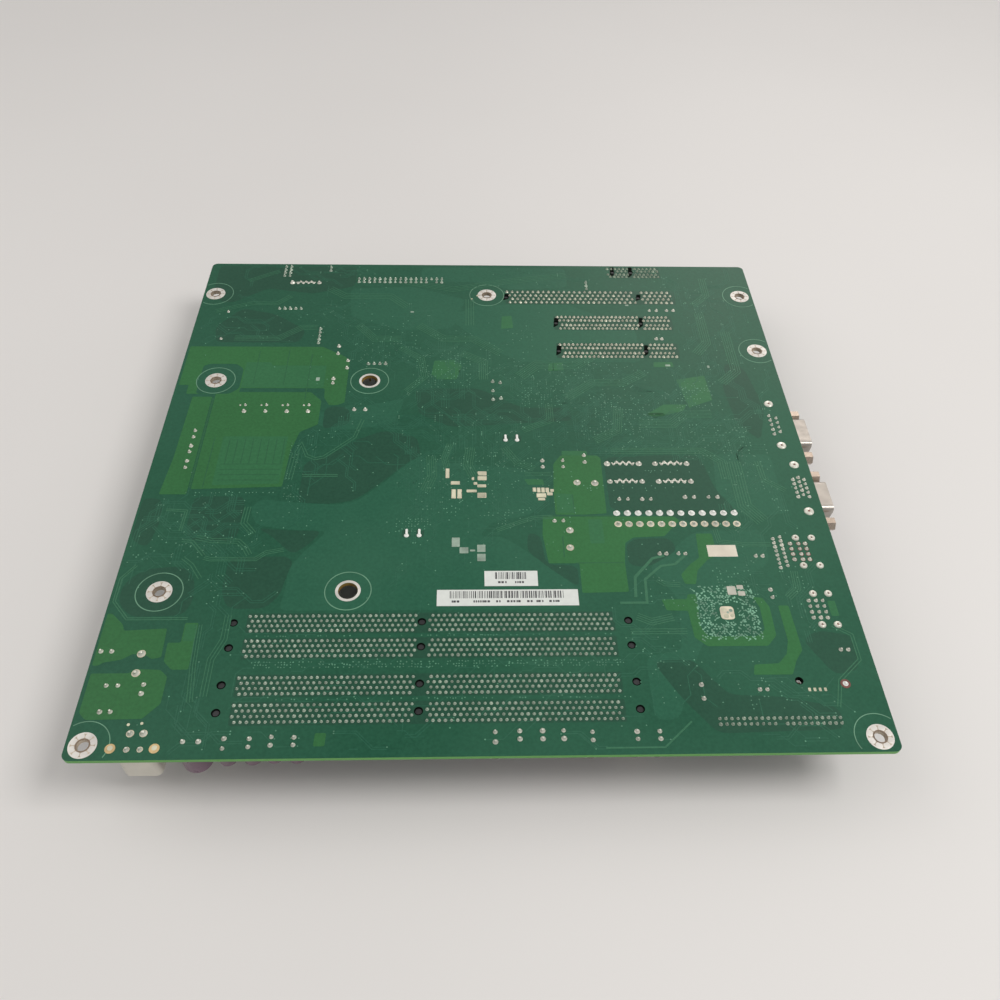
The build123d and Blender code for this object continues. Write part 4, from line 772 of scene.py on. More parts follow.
ROUTE_LEVELS = steps_from(0.016, 24, LEVEL_STEP)  # bundles made one after another never share a level
route_mesh = bmesh.new()
via_mesh = bmesh.new()
routes_made = 0
for x, y, length, width, count, most_lanes, upward in ROUTE_FIELDS:
    for _ in range(count):
        start = (x + DICE.uniform(-0.5, 0.5) * length, y + DICE.uniform(-0.5, 0.5) * width)
        heading = DICE.choice((0, 45, 90, 135, 180, 225, 270, 315))
        if upward is not None:
            heading = DICE.choice((90, 270) if upward else (0, 180))
        line = random_route(*start, heading)
        if len(line) < 2:
            continue
        lanes = DICE.randint(1, most_lanes)
        gap = DICE.uniform(0.75, 1.05)
        level = ROUTE_LEVELS[routes_made % len(ROUTE_LEVELS)]
        routes_made += 1
        for lane in range(lanes):
            strand = shifted(line, (lane - (lanes - 1) / 2) * gap)
            add_ribbon(route_mesh, strand, 0.30, SINK, level)
            for end in (strand[0], strand[-1]):
                if DICE.random() < 0.35:
                    add_turned(via_mesh, *end, [(0.28, SINK), (0.25, 0.05)], 8)
finish_piece("fine_traces", route_mesh, [ROUTE_MASK])


# ---------------------------------------------------------------- solder side: holes and pads

ring_mesh = bmesh.new()
for x, y in MOUNT_HOLES:
    add_arc(ring_mesh, x, y, KEEP_OUT, 0.30, SINK, INK_LEVEL)
for x, y in COOLER_PLATED + COOLER_CLEAR:
    add_arc(ring_mesh, x, y, KEEP_OUT, 0.36, SINK, INK_LEVEL)
finish_piece("keep_out_lines", ring_mesh, [LINE_INK])

BARREL_WALL = 0.05


def add_screw_ring(bm, x, y, hole, outer):
    """A plated ring round a screw hole: stained plating, a dark rim and eight broad solder bumps."""
    bore = circle_outline(x, y, hole - BARREL_WALL, 48)
    add_sheet(bm, [circle_outline(x, y, outer, 48)], [bore], SINK, 0.05, material=1)
    add_sheet(bm, [circle_outline(x, y, outer, 48)], [circle_outline(x, y, outer - 0.5, 48)], 0.04, 0.08)
    add_sheet(bm, [circle_outline(x, y, hole + 0.01, 48)], [bore], -1.55, 0.02, material=1)
    add_sheet(bm, [circle_outline(x, y, hole + 0.42, 48)], [bore], 0.03, 0.13, material=2)
    middle = (hole + outer) / 2 + 0.08
    for turn in range(8):
        angle = math.radians(turn * 45 + 22.5)
        spot = (x + middle * math.cos(angle), y + middle * math.sin(angle))
        add_turned(bm, *spot, [(1.21, 0.04), (1.10, 0.08), (0.7, 0.11), (0.2, 0.12)], 14)


ring_mesh = bmesh.new()
for x, y in MOUNT_HOLES:
    add_screw_ring(ring_mesh, x, y, MOUNT_RADIUS, MOUNT_RING)
finish_piece("screw_rings", ring_mesh, [PLATED, STAIN, RIM])

ring_mesh = bmesh.new()
for x, y in COOLER_PLATED:
    add_screw_ring(ring_mesh, x, y, 2.0, 4.6)
add_sheet(ring_mesh, ringed(COOLER_CLEAR, 4.6), ringed(COOLER_CLEAR, CLEAR_RADIUS + 0.08), SINK, 0.05)
finish_piece("cooler_rings", ring_mesh, [PLATED, STAIN, RIM])

bore_mesh = bmesh.new()
for x, y in COOLER_CLEAR:
    add_sheet(bore_mesh, [circle_outline(x, y, CLEAR_RADIUS + 0.01, 48)],
              [circle_outline(x, y, CLEAR_RADIUS - 0.04, 48)], LINING_DEPTH, -0.01)
finish_piece("bare_bores", bore_mesh, [FIBRE])

NO_VIAS = HOLE_CUTS + ringed(MOUNT_HOLES + COOLER_PLATED + COOLER_CLEAR, 5.4, 16)
for x, y, length, width, pitch, share in VIA_FIELDS:
    for i in range(int(length / pitch)):
        for j in range(int(width / pitch)):
            if DICE.random() > share:
                continue
            vx = x - length / 2 + (i + 0.5) * pitch + DICE.uniform(-0.15, 0.15)
            vy = y - width / 2 + (j + 0.5) * pitch + DICE.uniform(-0.15, 0.15)
            if any(inside((vx, vy), cut) for cut in NO_VIAS):
                continue
            radius = DICE.uniform(0.20, 0.30)
            add_turned(via_mesh, vx, vy, [(radius, SINK), (radius * 0.9, 0.045)], 8)

# the field under the lower chip: large pale vias, some with a short run of trace
BALLS = 24  # along each side
BALL_PITCH_X = 0.92
BALL_PITCH_Y = 0.96
for i in range(BALLS):
    for j in range(BALLS):
        vx = SOUTHBRIDGE[0] - 0.4 + (i - 11.5) * BALL_PITCH_X + DICE.uniform(-0.3, 0.3)
        vy = SOUTHBRIDGE[1] + 0.4 + (j - 11.5) * BALL_PITCH_Y + DICE.uniform(-0.3, 0.3)
        centre = abs(vx - SOUTHBRIDGE[0]) < 3.6 and abs(vy - SOUTHBRIDGE[1]) < 3.9
        corner = vx < 209.0 and vy > 61.0
        if centre or corner or DICE.random() > 0.60:
            continue
        radius = DICE.uniform(0.30, 0.42)
        add_turned(via_mesh, vx, vy, [(radius, SINK), (radius * 0.9, 0.05)], 8, material=1)
        if DICE.random() < 0.35:
            add_ribbon(via_mesh, [(vx, vy), (vx + DICE.choice((-0.8, 0.8)), vy + DICE.choice((-0.8, 0.8)))],
                       0.26, SINK, 0.04, material=1)
finish_piece("vias", via_mesh, [VIA_MASK, BALL_VIA])

# bare pads where parts could be fitted: x, y, length, width
BARE_PADS = [
    (118.8, 121.5, 1.5, 5.2), (122.0, 116.3, 3.6, 1.8), (121.4, 110.5, 1.8, 4.8), (123.7, 110.5, 1.8, 4.8),
    (132.7, 121.4, 3.6, 2.2), (132.7, 118.8, 3.6, 2.2), (130.0, 116.0, 1.4, 1.4), (132.5, 114.7, 3.5, 1.5),
    (128.5, 112.0, 4.0, 1.4), (132.5, 109.7, 3.5, 2.6), (153.4, 112.6, 1.4, 2.2), (155.1, 112.4, 1.4, 2.6),
    (156.8, 112.4, 1.4, 2.6), (158.5, 112.4, 1.4, 2.4), (156.0, 109.6, 3.8, 2.2), (159.4, 110.4, 2.2, 1.5),
    (160.4, 112.2, 1.4, 1.4), (129.0, 118.6, 1.0, 1.6), (156.0, 107.6, 2.8, 1.2),
]
DULL_PADS = [
    (122.4, 86.2, 3.0, 4.4), (125.5, 82.3, 3.3, 2.8), (128.7, 82.2, 2.0, 0.8), (132.0, 83.2, 3.1, 3.4),
    (132.0, 78.9, 3.1, 3.4), (217.6, 187.8, 2.2, 1.2),
    (61.0, 178.0, 1.6, 2.2), (100.6, 226.0, 1.6, 1.0), (236.0, 187.0, 1.0, 1.6), (204.0, 232.0, 1.6, 1.0),
]
pad_mesh = bmesh.new()
for x, y, length, width in BARE_PADS:
    add_slab(pad_mesh, rounded(box_outline(x, y, length, width), 0.25, 2), SINK, PAD_LEVEL)
    add_slab(pad_mesh, rounded(box_outline(x, y, length - 0.5, width - 0.5), 0.3, 2), 0.04, 0.14, material=1)
for x, y, length, width in DULL_PADS:
    add_slab(pad_mesh, rounded(box_outline(x, y, length, width), 0.2, 2), SINK, PAD_LEVEL, material=2)
# the heat pad under the lower chip, with uneven tinning, and three pads behind it
add_slab(pad_mesh, rounded(box_outline(219.6, 53.6, 5.0, 5.6), 1.5, 4), SINK, PAD_LEVEL)
for x, y, radius, material in ((218.4, 55.0, 0.9, 1), (221.0, 54.6, 0.7, 2), (219.0, 52.2, 1.0, 1),
                               (221.2, 52.4, 0.8, 1), (219.8, 53.8, 0.5, 2)):
    blob = [(radius, 0.04), (radius * 0.8, 0.1), (radius * 0.3, 0.13)]
    add_turned(pad_mesh, x, y, blob, 14, material=material)
for x, y, length, width in ((223.0, 63.3, 3.2, 3.8), (226.3, 64.8, 2.4, 1.8), (226.4, 62.0, 2.6, 2.0)):
    add_slab(pad_mesh, rounded(box_outline(x, y, length, width), 0.3, 2), SINK, 0.052, material=3)
finish_piece("bare_pads", pad_mesh, [BARE_PAD, PAD_SOLDER, DULL_PAD, TIN_PAD])


# ---------------------------------------------------------------- solder side: soldered joints

JOINT_PROFILE = [(1.0, 0.0), (0.97, 0.08), (0.80, 0.24), (0.55, 0.55), (0.42, 0.88), (0.22, 1.0)]


def add_joint(bm, x, y, radius=0.62, height=0.9, steps=8, wobble=0.12, material=0):
    """One soldered pin: a small concave cone of solder with the lead's tip on top."""
    radius *= DICE.uniform(1 - wobble, 1 + wobble)
    height *= DICE.uniform(1 - wobble, 1 + wobble)
    profile = [(radius * r, SINK + height * h) for r, h in JOINT_PROFILE]
    lean = (DICE.uniform(-0.12, 0.12) * radius, DICE.uniform(-0.12, 0.12) * radius)
    add_turned(bm, x, y, profile, steps, material=material, lean=lean)


def add_collar(bm, x, y, radius, material, height=0.05, steps=20):
    """A flat round pad, or a ring of flux, under and around a joint."""
    add_turned(bm, x, y, [(radius, SINK), (radius * 0.97, height)], steps, material=material)


# memory sockets: four staggered rows each, broken at the key
joint_mesh = bmesh.new()
for socket_y in DIMM_Y:
    for row, offset in enumerate(DIMM_ROW_OFFSETS):
        x = DIMM_START + (row % 2) * DIMM_PITCH / 2
        while x < DIMM_END:
            if abs(x - DIMM_KEY - 0.4) > 2.2:
                add_joint(joint_mesh, x, socket_y + offset, 0.60, 0.75)
            x += DIMM_PITCH
finish_piece("memory_joints", joint_mesh, [PIN_SOLDER])

# expansion slots: name, first and last x, y of each row, pitch, and the gap at the key
SLOT_ROWS = [
    ("pci_joints", 146.2, 227.0, (242.0, 239.3, 236.6, 233.9), 2.54, (209.4, 211.2)),
    ("pcie_x8_joints_1", 169.6, 222.8, (222.5, 220.0, 216.5, 214.0), 2.0, (208.2, 210.2)),
    ("pcie_x8_joints_2", 169.6, 222.8, (202.2, 199.7, 196.2, 193.7), 2.0, (208.2, 210.2)),
    ("pcie_x1_joints", 197.4, 222.4, (261.6, 259.6, 256.9, 255.0), 2.0, (208.2, 210.2)),
]
for name, first, last, rows, pitch, key in SLOT_ROWS:
    joint_mesh = bmesh.new()
    for row, y in enumerate(rows):
        x = first + (row % 2) * pitch / 2
        while x <= last:
            by_peg = any(math.hypot(x - peg_x, y - peg_y) < 2.2 for peg_x, peg_y in PEGS)
            if not by_peg and not key[0] < x < key[1]:
                add_joint(joint_mesh, x, y, 0.74, 0.75)
            x += pitch
    finish_piece(name, joint_mesh, [DIM_SOLDER if name == "pcie_x1_joints" else SLOT_SOLDER])


def joint_piece(name, spots, radius=0.75, height=1.1, steps=10):
    """A group of soldered pins that belong to one connector."""
    bm = bmesh.new()
    for x, y in spots:
        add_joint(bm, x, y, radius, height, steps)
    return finish_piece(name, bm, [PIN_SOLDER])


def grid(xs, ys, missing=()):
    """Every place of a pin grid but the missing ones."""
    return [(x, y) for x in xs for y in ys if (x, y) not in missing]


RIBBON_XS = steps_from(93.9 - 8 * 2.54, 17, 2.54)
joint_piece("ribbon_header_joints", grid(RIBBON_XS, (252.07, 249.53), [(RIBBON_XS[14], 249.53)]), 0.78, 1.1)
PANEL_XS = steps_from(229.35 - 20.0, 21, 2.0)
joint_piece("panel_header_joints", grid(PANEL_XS, (12.2, 10.2), [(PANEL_XS[10], 10.2)]), 0.62, 0.9)
header_spots = grid((36.7, 39.3), (254.19, 256.73, 259.27, 261.81))
header_spots += grid(steps_from(37.7, 5, 2.54), (228.0,))
header_spots += grid((59.0,), (258.7, 261.3))
header_spots += grid((58.7,), steps_from(202.7, 5, 2.54))
header_spots += grid(steps_from(82.5, 4, 2.54), (188.3,))
header_spots += grid((185.5,), steps_from(244.8, 3, 2.54))
header_spots += [(138.0, 176.5), (141.3, 175.8), (138.0, 170.5), (138.0, 165.0), (141.4, 165.7)]
joint_piece("pin_header_joints", header_spots, 0.8, 1.1)

# main power: a row in solder with its glint painted near-white, and a row on bare pads
POWER_XS = steps_from(184.9, 12, 4.2)
power_mesh = bmesh.new()
for x in POWER_XS:
    add_collar(power_mesh, x, 100.3, 1.35, 2)
    add_joint(power_mesh, x, 100.3, 1.3, 1.2, 12, material=2)
    add_collar(power_mesh, x, 94.8, 1.5, 1)
    add_joint(power_mesh, x, 94.8, 1.0, 1.4, 12)
finish_piece("main_power_joints", power_mesh, [SOLDER, BARE_PAD, GLINT_PAINTED_SOLDER])
processor_power = bmesh.new()
for x, y, radius in ((19.6, 3.6, 0.8), (23.8, 3.6, 0.8), (19.5, 9.1, 1.1), (23.7, 9.1, 1.1)):
    add_collar(processor_power, x, y, radius + 0.2, 1)
    add_joint(processor_power, x, y, radius, 1.5, 12)
finish_piece("processor_power_joints", processor_power, [SOLDER, BARE_PAD])

# drive ports: two hold-down joints with a run of seven pins between them
SATA_PITCH = 1.27
WAVE_STEP = 0.2
sata_mesh = bmesh.new()
for x, y in ((190.3, 126.7), (210.0, 126.7), (190.5, 116.9), (210.2, 116.9), (47.8, 248.6)):
    for side in (-6.5, 6.5):
        add_joint(sata_mesh, x + side, y, 1.25, 1.1, 12)
    for pin in range(7):
        stagger = 0.55 if pin % 2 else -0.55
        add_joint(sata_mesh, x - 3.81 + pin * SATA_PITCH, y + 0.35 + stagger, 0.70, 0.6, 8)
    # a line of solder that waves from pin to pin
    wave = []
    for i in range(47):
        swing = math.cos(math.pi * (i * WAVE_STEP - 0.79) / SATA_PITCH)
        wave.append((x - 4.6 + i * WAVE_STEP, y + 0.35 - 0.62 * swing))
    add_ribbon(sata_mesh, wave, 0.55, SINK, 0.12)
finish_piece("drive_port_joints", sata_mesh, [SOLDER])


# rear ports


def add_lock_joint(bm, x, y, radius):
    """The joint of a board lock: a broad low ring of solder with flux in its dimple."""
    profile = [(1.0, SINK), (0.95, 0.25), (0.75, 0.55), (0.5, 0.62), (0.34, 0.42)]
    add_turned(bm, x, y, [(radius * r, h) for r, h in profile], 18)
    add_turned(bm, x, y, [(radius * 0.34, 0.38), (radius * 0.2, 0.46)], 12, material=1)


rear_mesh = bmesh.new()
for x, y in ((258.2, 162.4), (258.2, 137.1), (260.9, 126.0), (260.9, 101.0)):
    add_lock_joint(rear_mesh, x, y, 2.0)
for x, y in ((252.3, 87.7), (258.5, 87.7), (252.3, 74.5), (258.5, 74.5),
             (252.6, 61.7), (258.2, 61.7), (252.6, 48.3), (258.2, 48.3)):
    add_lock_joint(rear_mesh, x, y, 1.45)
for y in steps_from(143.85, 5, 2.77):
    add_joint(rear_mesh, 256.7, y, 0.75, 1.0, 10)
for y in steps_from(145.2, 4, 2.77):
    add_joint(rear_mesh, 259.5, y, 0.75, 1.0, 10)
for column, x in enumerate((258.5, 260.8, 263.0)):
    for y in steps_from(108.6 + (1.1 if column == 1 else 0.0), 5, 2.3):
        add_joint(rear_mesh, x, y, 0.76, 0.9, 10)
for column, x in enumerate((243.5, 246.3)):
    for y in steps_from(73.6 + column * 0.9, 8, 1.95):
        add_joint(rear_mesh, x, y, 0.78, 0.9, 8)
for x in (249.6, 252.8, 255.4):
    for y in steps_from(77.4, 4, 2.5):
        add_collar(rear_mesh, x, y, 0.95, 1)
        add_joint(rear_mesh, x, y, 0.8, 0.9, 8)
for x in (250.3, 252.9, 255.4):
    for y in steps_from(51.3, 4, 2.45):
        add_joint(rear_mesh, x, y, 0.78, 0.95, 8)
finish_piece("rear_port_joints", rear_mesh, [SOLDER, FLUX])

# pairs of joints, mostly those of electrolytic capacitors
CAPACITOR_JOINTS = [
    ((13.8, 142.0), (13.8, 145.7)), ((13.8, 133.5), (13.8, 136.8)), ((13.8, 124.8), (13.8, 128.4)),
    ((78.5, 158.5), (83.2, 158.5)), ((68.3, 200.4), (68.3, 195.2)), ((73.2, 190.4), (73.2, 185.4)),
    ((67.8, 178.2), (67.8, 175.3)), ((2.5, 39.5), (6.1, 39.5)), ((7.6, 26.4), (11.4, 26.4)),
    ((19.7, 26.7), (19.7, 23.3)), ((7.9, 16.8), (11.3, 16.8)), ((36.6, 6.1), (41.5, 6.1)),
    ((49.4, 7.0), (49.4, 3.6)), ((57.4, 6.9), (57.4, 4.1)), ((64.3, 7.4), (64.3, 4.6)),
    ((71.5, 7.2), (71.5, 4.6)), ((135.7, 8.3), (135.7, 4.9)), ((143.6, 8.6), (143.6, 5.8)),
    ((151.0, 8.6), (151.0, 5.8)), ((157.8, 8.6), (157.8, 5.8)), ((167.1, 8.0), (167.1, 5.2)),
    ((181.6, 8.0), (181.6, 5.4)), ((189.0, 8.0), (189.0, 5.4)), ((157.4, 128.4), (157.4, 125.0)),
    ((165.7, 128.4), (165.7, 125.0)), ((174.7, 131.4), (174.7, 127.6)), ((160.4, 96.5), (163.8, 96.5)),
    ((186.7, 107.5), (190.1, 107.5)), ((195.8, 107.5), (199.2, 107.5)), ((213.0, 108.5), (216.6, 108.5)),
    ((222.4, 108.5), (226.0, 108.5)), ((199.0, 80.3), (201.5, 80.3)), ((206.1, 80.3), (208.7, 80.3)),
    ((235.2, 79.0), (237.8, 79.0)), ((237.4, 63.6), (237.4, 60.2)), ((256.5, 38.0), (259.1, 38.0)),
    ((224.9, 22.8), (227.4, 22.8)), ((214.4, 227.7), (217.8, 227.7)), ((222.8, 227.9), (226.0, 227.9)),
    ((214.9, 206.5), (217.5, 206.5)), ((205.4, 24.8), (205.4, 19.6)),
]
INDUCTOR_JOINTS = [(16.3, 38.5), (16.2, 31.0), (170.7, 116.4), (177.8, 116.0), (166.0, 91.8), (165.5, 83.4)]
BATTERY_JOINTS = [(14.0, 225.5), (14.0, 205.5)]
cap_mesh = bmesh.new()
for pair in CAPACITOR_JOINTS:
    for x, y in pair:
        add_joint(cap_mesh, x, y, 0.86, 1.05, 10, 0.16)
# the row of joints at the processor supply
for x in (32.0, 41.0, 50.0, 59.0):
    add_joint(cap_mesh, x, 157.4, 0.95, 1.1, 10)
    add_joint(cap_mesh, x, 161.3, 0.7, 0.8, 10)
    add_joint(cap_mesh, x - 2.2, 161.2, 0.5, 0.5, 8)
for x, y in INDUCTOR_JOINTS:
    add_collar(cap_mesh, x, y, 1.5, 1)
    add_joint(cap_mesh, x, y, 1.25, 1.3, 12)
for x, y in BATTERY_JOINTS:
    add_joint(cap_mesh, x, y, 0.7, 0.7, 10)
finish_piece("capacitor_joints", cap_mesh, [SOLDER, BARE_PAD])

# heatsink anchors: two joints each, bars drawn out along the wire loop with a round foot, in solder with its
# glint painted near-white
anchor_mesh = bmesh.new()
for x, y in ANCHOR_JOINTS:
    add_slab(anchor_mesh, rounded(box_outline(x, y + 0.3, 0.95, 3.6), 0.45, 4), SINK, 0.3)
    add_slab(anchor_mesh, rounded(box_outline(x, y + 0.3, 0.55, 2.6), 0.25, 4), 0.25, 0.8)
    add_turned(anchor_mesh, x, y - 0.9, [(0.95, SINK), (0.9, 0.2), (0.6, 0.45), (0.2, 0.55)], 16)
finish_piece("anchor_joints", anchor_mesh, [GLINT_PAINTED_SOLDER])

# stray pads, and the joint over the tooling hole in its ring of flux, that joint in solder with its glint
# painted near-white
STRAY_PADS = [
    # x, y, radius, and 0 for gold or 2 for solder
    (28.2, 3.9, 1.7, 0), (14.4, 4.0, 1.7, 0), (28.2, 4.1, 0.9, 2), (14.4, 4.2, 0.9, 2),
    (18.2, 12.2, 0.5, 2), (22.4, 12.6, 0.5, 2), (131.8, 239.0, 0.6, 2), (129.0, 236.4, 0.4, 2),
]
spot_mesh = bmesh.new()
for x, y, radius, material in STRAY_PADS:
    add_collar(spot_mesh, x, y, radius, material, 0.06 + 0.02 * material)
add_collar(spot_mesh, *TOOLING_HOLE, 1.75, 1, 0.09)
add_joint(spot_mesh, *TOOLING_HOLE, 0.95, 0.9, 12, material=3)
for x in steps_from(241.7, 4, 1.8):
    add_slab(spot_mesh, rounded(box_outline(x, 22.6, 0.9, 1.3), 0.2, 2), SINK, PAD_LEVEL, material=2)
finish_piece("stray_pads", spot_mesh, [GOLD_PAD, FLUX, PAD_SOLDER, GLINT_PAINTED_SOLDER])

# the blank block printed beside the ports' chip, over the smallest label
PRINT_FOOT = 0.09  # just inside the paper
block_mesh = bmesh.new()
add_slab(block_mesh, box_outline(222.85, 81.55, 11.0, 5.4), PRINT_FOOT, 0.108)
finish_piece("blank_block", block_mesh, [CREAM_INK])

# print on the two paper labels: bars above, and groups of short dashes that spell nothing below
PRINT_LEVEL = 0.106
DASH_GAP = 0.3
print_mesh = bmesh.new()
LABEL_PRINTS = [
    # left and right end of the bars, low and high edge of the print, and the spans of the dashes
    (137.0, 148.4, 66.6, 72.0, ((138.4, 141.4), (144.4, 147.2))),
    (120.6, 161.4, 58.2, 63.6, ((121.4, 124.0), (129.2, 134.8), (137.4, 138.8), (141.4, 146.2),
                                (148.6, 149.8), (151.8, 154.6), (156.6, 160.2))),
]
for left, right, low, high, words in LABEL_PRINTS:
    x = left
    middle = low + (high - low) * 0.42
    while x < right:
        width = DICE.choice((0.18, 0.18, 0.3, 0.45))
        bar = box_outline(x, (middle + high) / 2, width, high - middle)
        add_slab(print_mesh, bar, PRINT_FOOT, PRINT_LEVEL)
        x += width + DICE.choice((0.2, 0.3, 0.45))
    for start, end in words:
        x = start
        while x < end:
            width = DICE.choice((0.5, 0.7, 0.9))
            add_slab(print_mesh, box_outline(x, low + 0.9, width, 0.9), PRINT_FOOT, PRINT_LEVEL)
            x += width + DASH_GAP
finish_piece("label_print", print_mesh, [PRINT])


# ---------------------------------------------------------------- looks of the CAD nodes

NYLON_BLACK = surface("black_nylon", (0.020, 0.020, 0.022), 0.42, grain=700, spread=0.3, bump=0.25)
NYLON_IVORY = surface("ivory_nylon", (0.66, 0.63, 0.55), 0.45, grain=700, spread=0.06, bump=0.2)
NYLON_BLUE = surface("blue_plastic", (0.02, 0.07, 0.34), 0.40, grain=700, spread=0.15)
SOCKET_PLASTIC = surface("socket_plastic", (0.40, 0.36, 0.27), 0.5, grain=800, spread=0.08)
STEEL = surface("stamped_steel", (0.62, 0.62, 0.60), 0.34, metal=1.0, grain=500, spread=0.08, bump=0.12)
WIRE = surface("spring_wire", (0.58, 0.58, 0.57), 0.28, metal=1.0, grain=900, spread=0.08)
SHELL = surface("tinned_shell", (0.44, 0.41, 0.37), 0.36, metal=0.9, grain=500, spread=0.12, bump=0.12)
NICKEL = surface("nickel", (0.48, 0.40, 0.33), 0.32, metal=0.9, grain=900, spread=0.10, bump=0.1)
CONTACT = surface("contact_gold", (0.75, 0.55, 0.22), 0.25, metal=1.0, grain=900, spread=0.1)
FIN_METAL = surface("heatsink_metal", (0.55, 0.56, 0.57), 0.38, metal=1.0, grain=350, spread=0.08, bump=0.2)
EPOXY = surface("chip_epoxy", (0.022, 0.022, 0.024), 0.55, grain=1200, spread=0.25, bump=0.3)
SUBSTRATE = surface("chip_substrate", (0.035, 0.12, 0.05), 0.35, grain=900, spread=0.15)
FERRITE = surface("ferrite", (0.055, 0.055, 0.058), 0.6, grain=1500, spread=0.3, bump=0.4)
SLEEVE = surface("capacitor_sleeve", (0.150, 0.085, 0.125), 0.34, grain=600, spread=0.15, bump=0.1)
COPPER_WIRE = surface("copper_winding", (0.60, 0.24, 0.10), 0.3, metal=1.0, grain=900, spread=0.12)
CELL = surface("cell_steel", (0.70, 0.70, 0.69), 0.24, metal=1.0, grain=600, spread=0.06, bump=0.1)

NODE_LOOKS = {
    "circuit_board": MASK, "paper_labels": PAPER, "cpu_socket_body": SOCKET_PLASTIC,
    "cpu_socket_frame": STEEL, "cpu_load_plate": STEEL, "cpu_load_lever": WIRE, "pci_slot": NYLON_BLACK,
    "pcie_x8_slot_1": NYLON_BLACK, "pcie_x8_slot_2": NYLON_BLACK, "pcie_x1_slot": NYLON_BLACK,
    "chipset_package": SUBSTRATE, "chipset_heatsink": FIN_METAL, "heatsink_clip": WIRE,
    "heatsink_anchors": WIRE, "southbridge_package": EPOXY, "super_io_chip": EPOXY,
    "network_chip": EPOXY, "small_chips": EPOXY, "crystal": SHELL, "main_power_connector": NYLON_IVORY,
    "main_power_pins": CONTACT, "cpu_power_connector": NYLON_IVORY, "cpu_power_pins": CONTACT,
    "processor_chokes": FERRITE, "processor_mosfets": EPOXY, "filter_inductors": FERRITE,
    "capacitor_cans": SLEEVE, "sata_ports": NYLON_BLACK, "ribbon_header_shroud": NYLON_BLACK,
    "ribbon_header_pins": CONTACT, "panel_header_shroud": NYLON_BLACK, "panel_header_pins": CONTACT,
    "pin_header_bases": NYLON_BLACK, "pin_header_pins": CONTACT, "jumper_cap": NYLON_BLUE,
    "serial_port_shell": SHELL, "serial_port_insert": NYLON_BLACK, "vga_port_shell": SHELL,
    "vga_port_insert": NYLON_BLUE, "jackscrews": NICKEL, "lan_usb_shell": SHELL,
    "lan_usb_insert": NYLON_BLACK, "usb_stack_shell": SHELL, "usb_stack_insert": NYLON_BLACK,
    "battery_holder": NYLON_BLACK, "battery_cell": CELL,
}
for number in (1, 2, 3, 4):
    NODE_LOOKS[f"dimm_socket_{number}"] = NYLON_BLACK
    for end in ("front", "rear"):
        NODE_LOOKS[f"dimm_latch_{number}_{end}"] = NYLON_IVORY

for name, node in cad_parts.items():
    for material_slot in node.material_slots:
        material_slot.material = NODE_LOOKS[name]


# ---------------------------------------------------------------- component side: what stands where

PART_DICE = random.Random(23)


def solid_boxes(name):
    """Each separate solid of a CAD node: its low x and y, high x and y on the board, and depth, mm."""
    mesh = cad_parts[name].data
    keys = [tuple(round(value * 1e5) for value in vertex.co) for vertex in mesh.vertices]
    owner = {key: key for key in keys}

    def root_of(key):
        while owner[key] != key:
            key = owner[key]
        return key

    for polygon in mesh.polygons:
        first = root_of(keys[polygon.vertices[0]])
        for index in polygon.vertices[1:]:
            owner[root_of(keys[index])] = first
    groups = {}
    for key in owner:
        groups.setdefault(root_of(key), []).append([value * 1e-5 for value in key])
    boxes = []
    for group in groups.values():
        xs, ys, zs = zip(*group)
        boxes.append(((min(xs) - BOARD_LOW[0]) / MM, (min(ys) - BOARD_LOW[1]) / MM,
                      (max(xs) - BOARD_LOW[0]) / MM, (max(ys) - BOARD_LOW[1]) / MM,
                      (COMPONENT_FACE - min(zs)) / MM))
    return sorted(boxes)


def middle_of(box):
    """The middle of a box on the board."""
    return ((box[0] + box[2]) / 2, (box[1] + box[3]) / 2)


NOT_PARTS = ("circuit_board", "paper_labels", "jackscrews")
FOOTPRINTS = {name: solid_boxes(name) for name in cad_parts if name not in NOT_PARTS}
CANS = FOOTPRINTS["capacitor_cans"]


def add_rod(bm, start, end, radius, steps=10, material=0):
    """A straight round rod between two points in the frame."""
    axis = (end - start).normalized()
    across = axis.orthogonal().normalized()
    other = axis.cross(across)
    rings = []
    for spot in (start, end):
        turns = [2 * math.pi * k / steps for k in range(steps)]
        rings.append([bm.verts.new(spot + (across * math.cos(t) + other * math.sin(t)) * radius * MM)
                      for t in turns])
    faces = [bm.faces.new(rings[0][::-1]), bm.faces.new(rings[1])]
    for k in range(steps):
        n = (k + 1) % steps
        faces.append(bm.faces.new((rings[0][k], rings[0][n], rings[1][n], rings[1][k])))
    for face in faces:
        face.material_index = material


# ---------------------------------------------------------------- component side: copper and print

COMPONENT_PLANES = [
    [(6, 152), (66, 152), (70, 158), (70, 206), (44, 206), (30, 196), (22, 190), (6, 190)],
    [(3, 12), (30, 12), (34, 18), (34, 40), (26, 48), (3, 48)],
    [(152, 82), (172, 82), (176, 92), (244, 92), (244, 104), (182, 104), (182, 134), (152, 134)],
    [(198, 34), (214, 34), (214, 38), (236, 38), (240, 42), (240, 68), (232, 72), (204, 72), (198, 66)],
]
sheet_piece("component_planes", COMPONENT_PLANES, HOLE_CUTS, 0.02, COPPER_MASK,
            place=under, round_by=2.0)

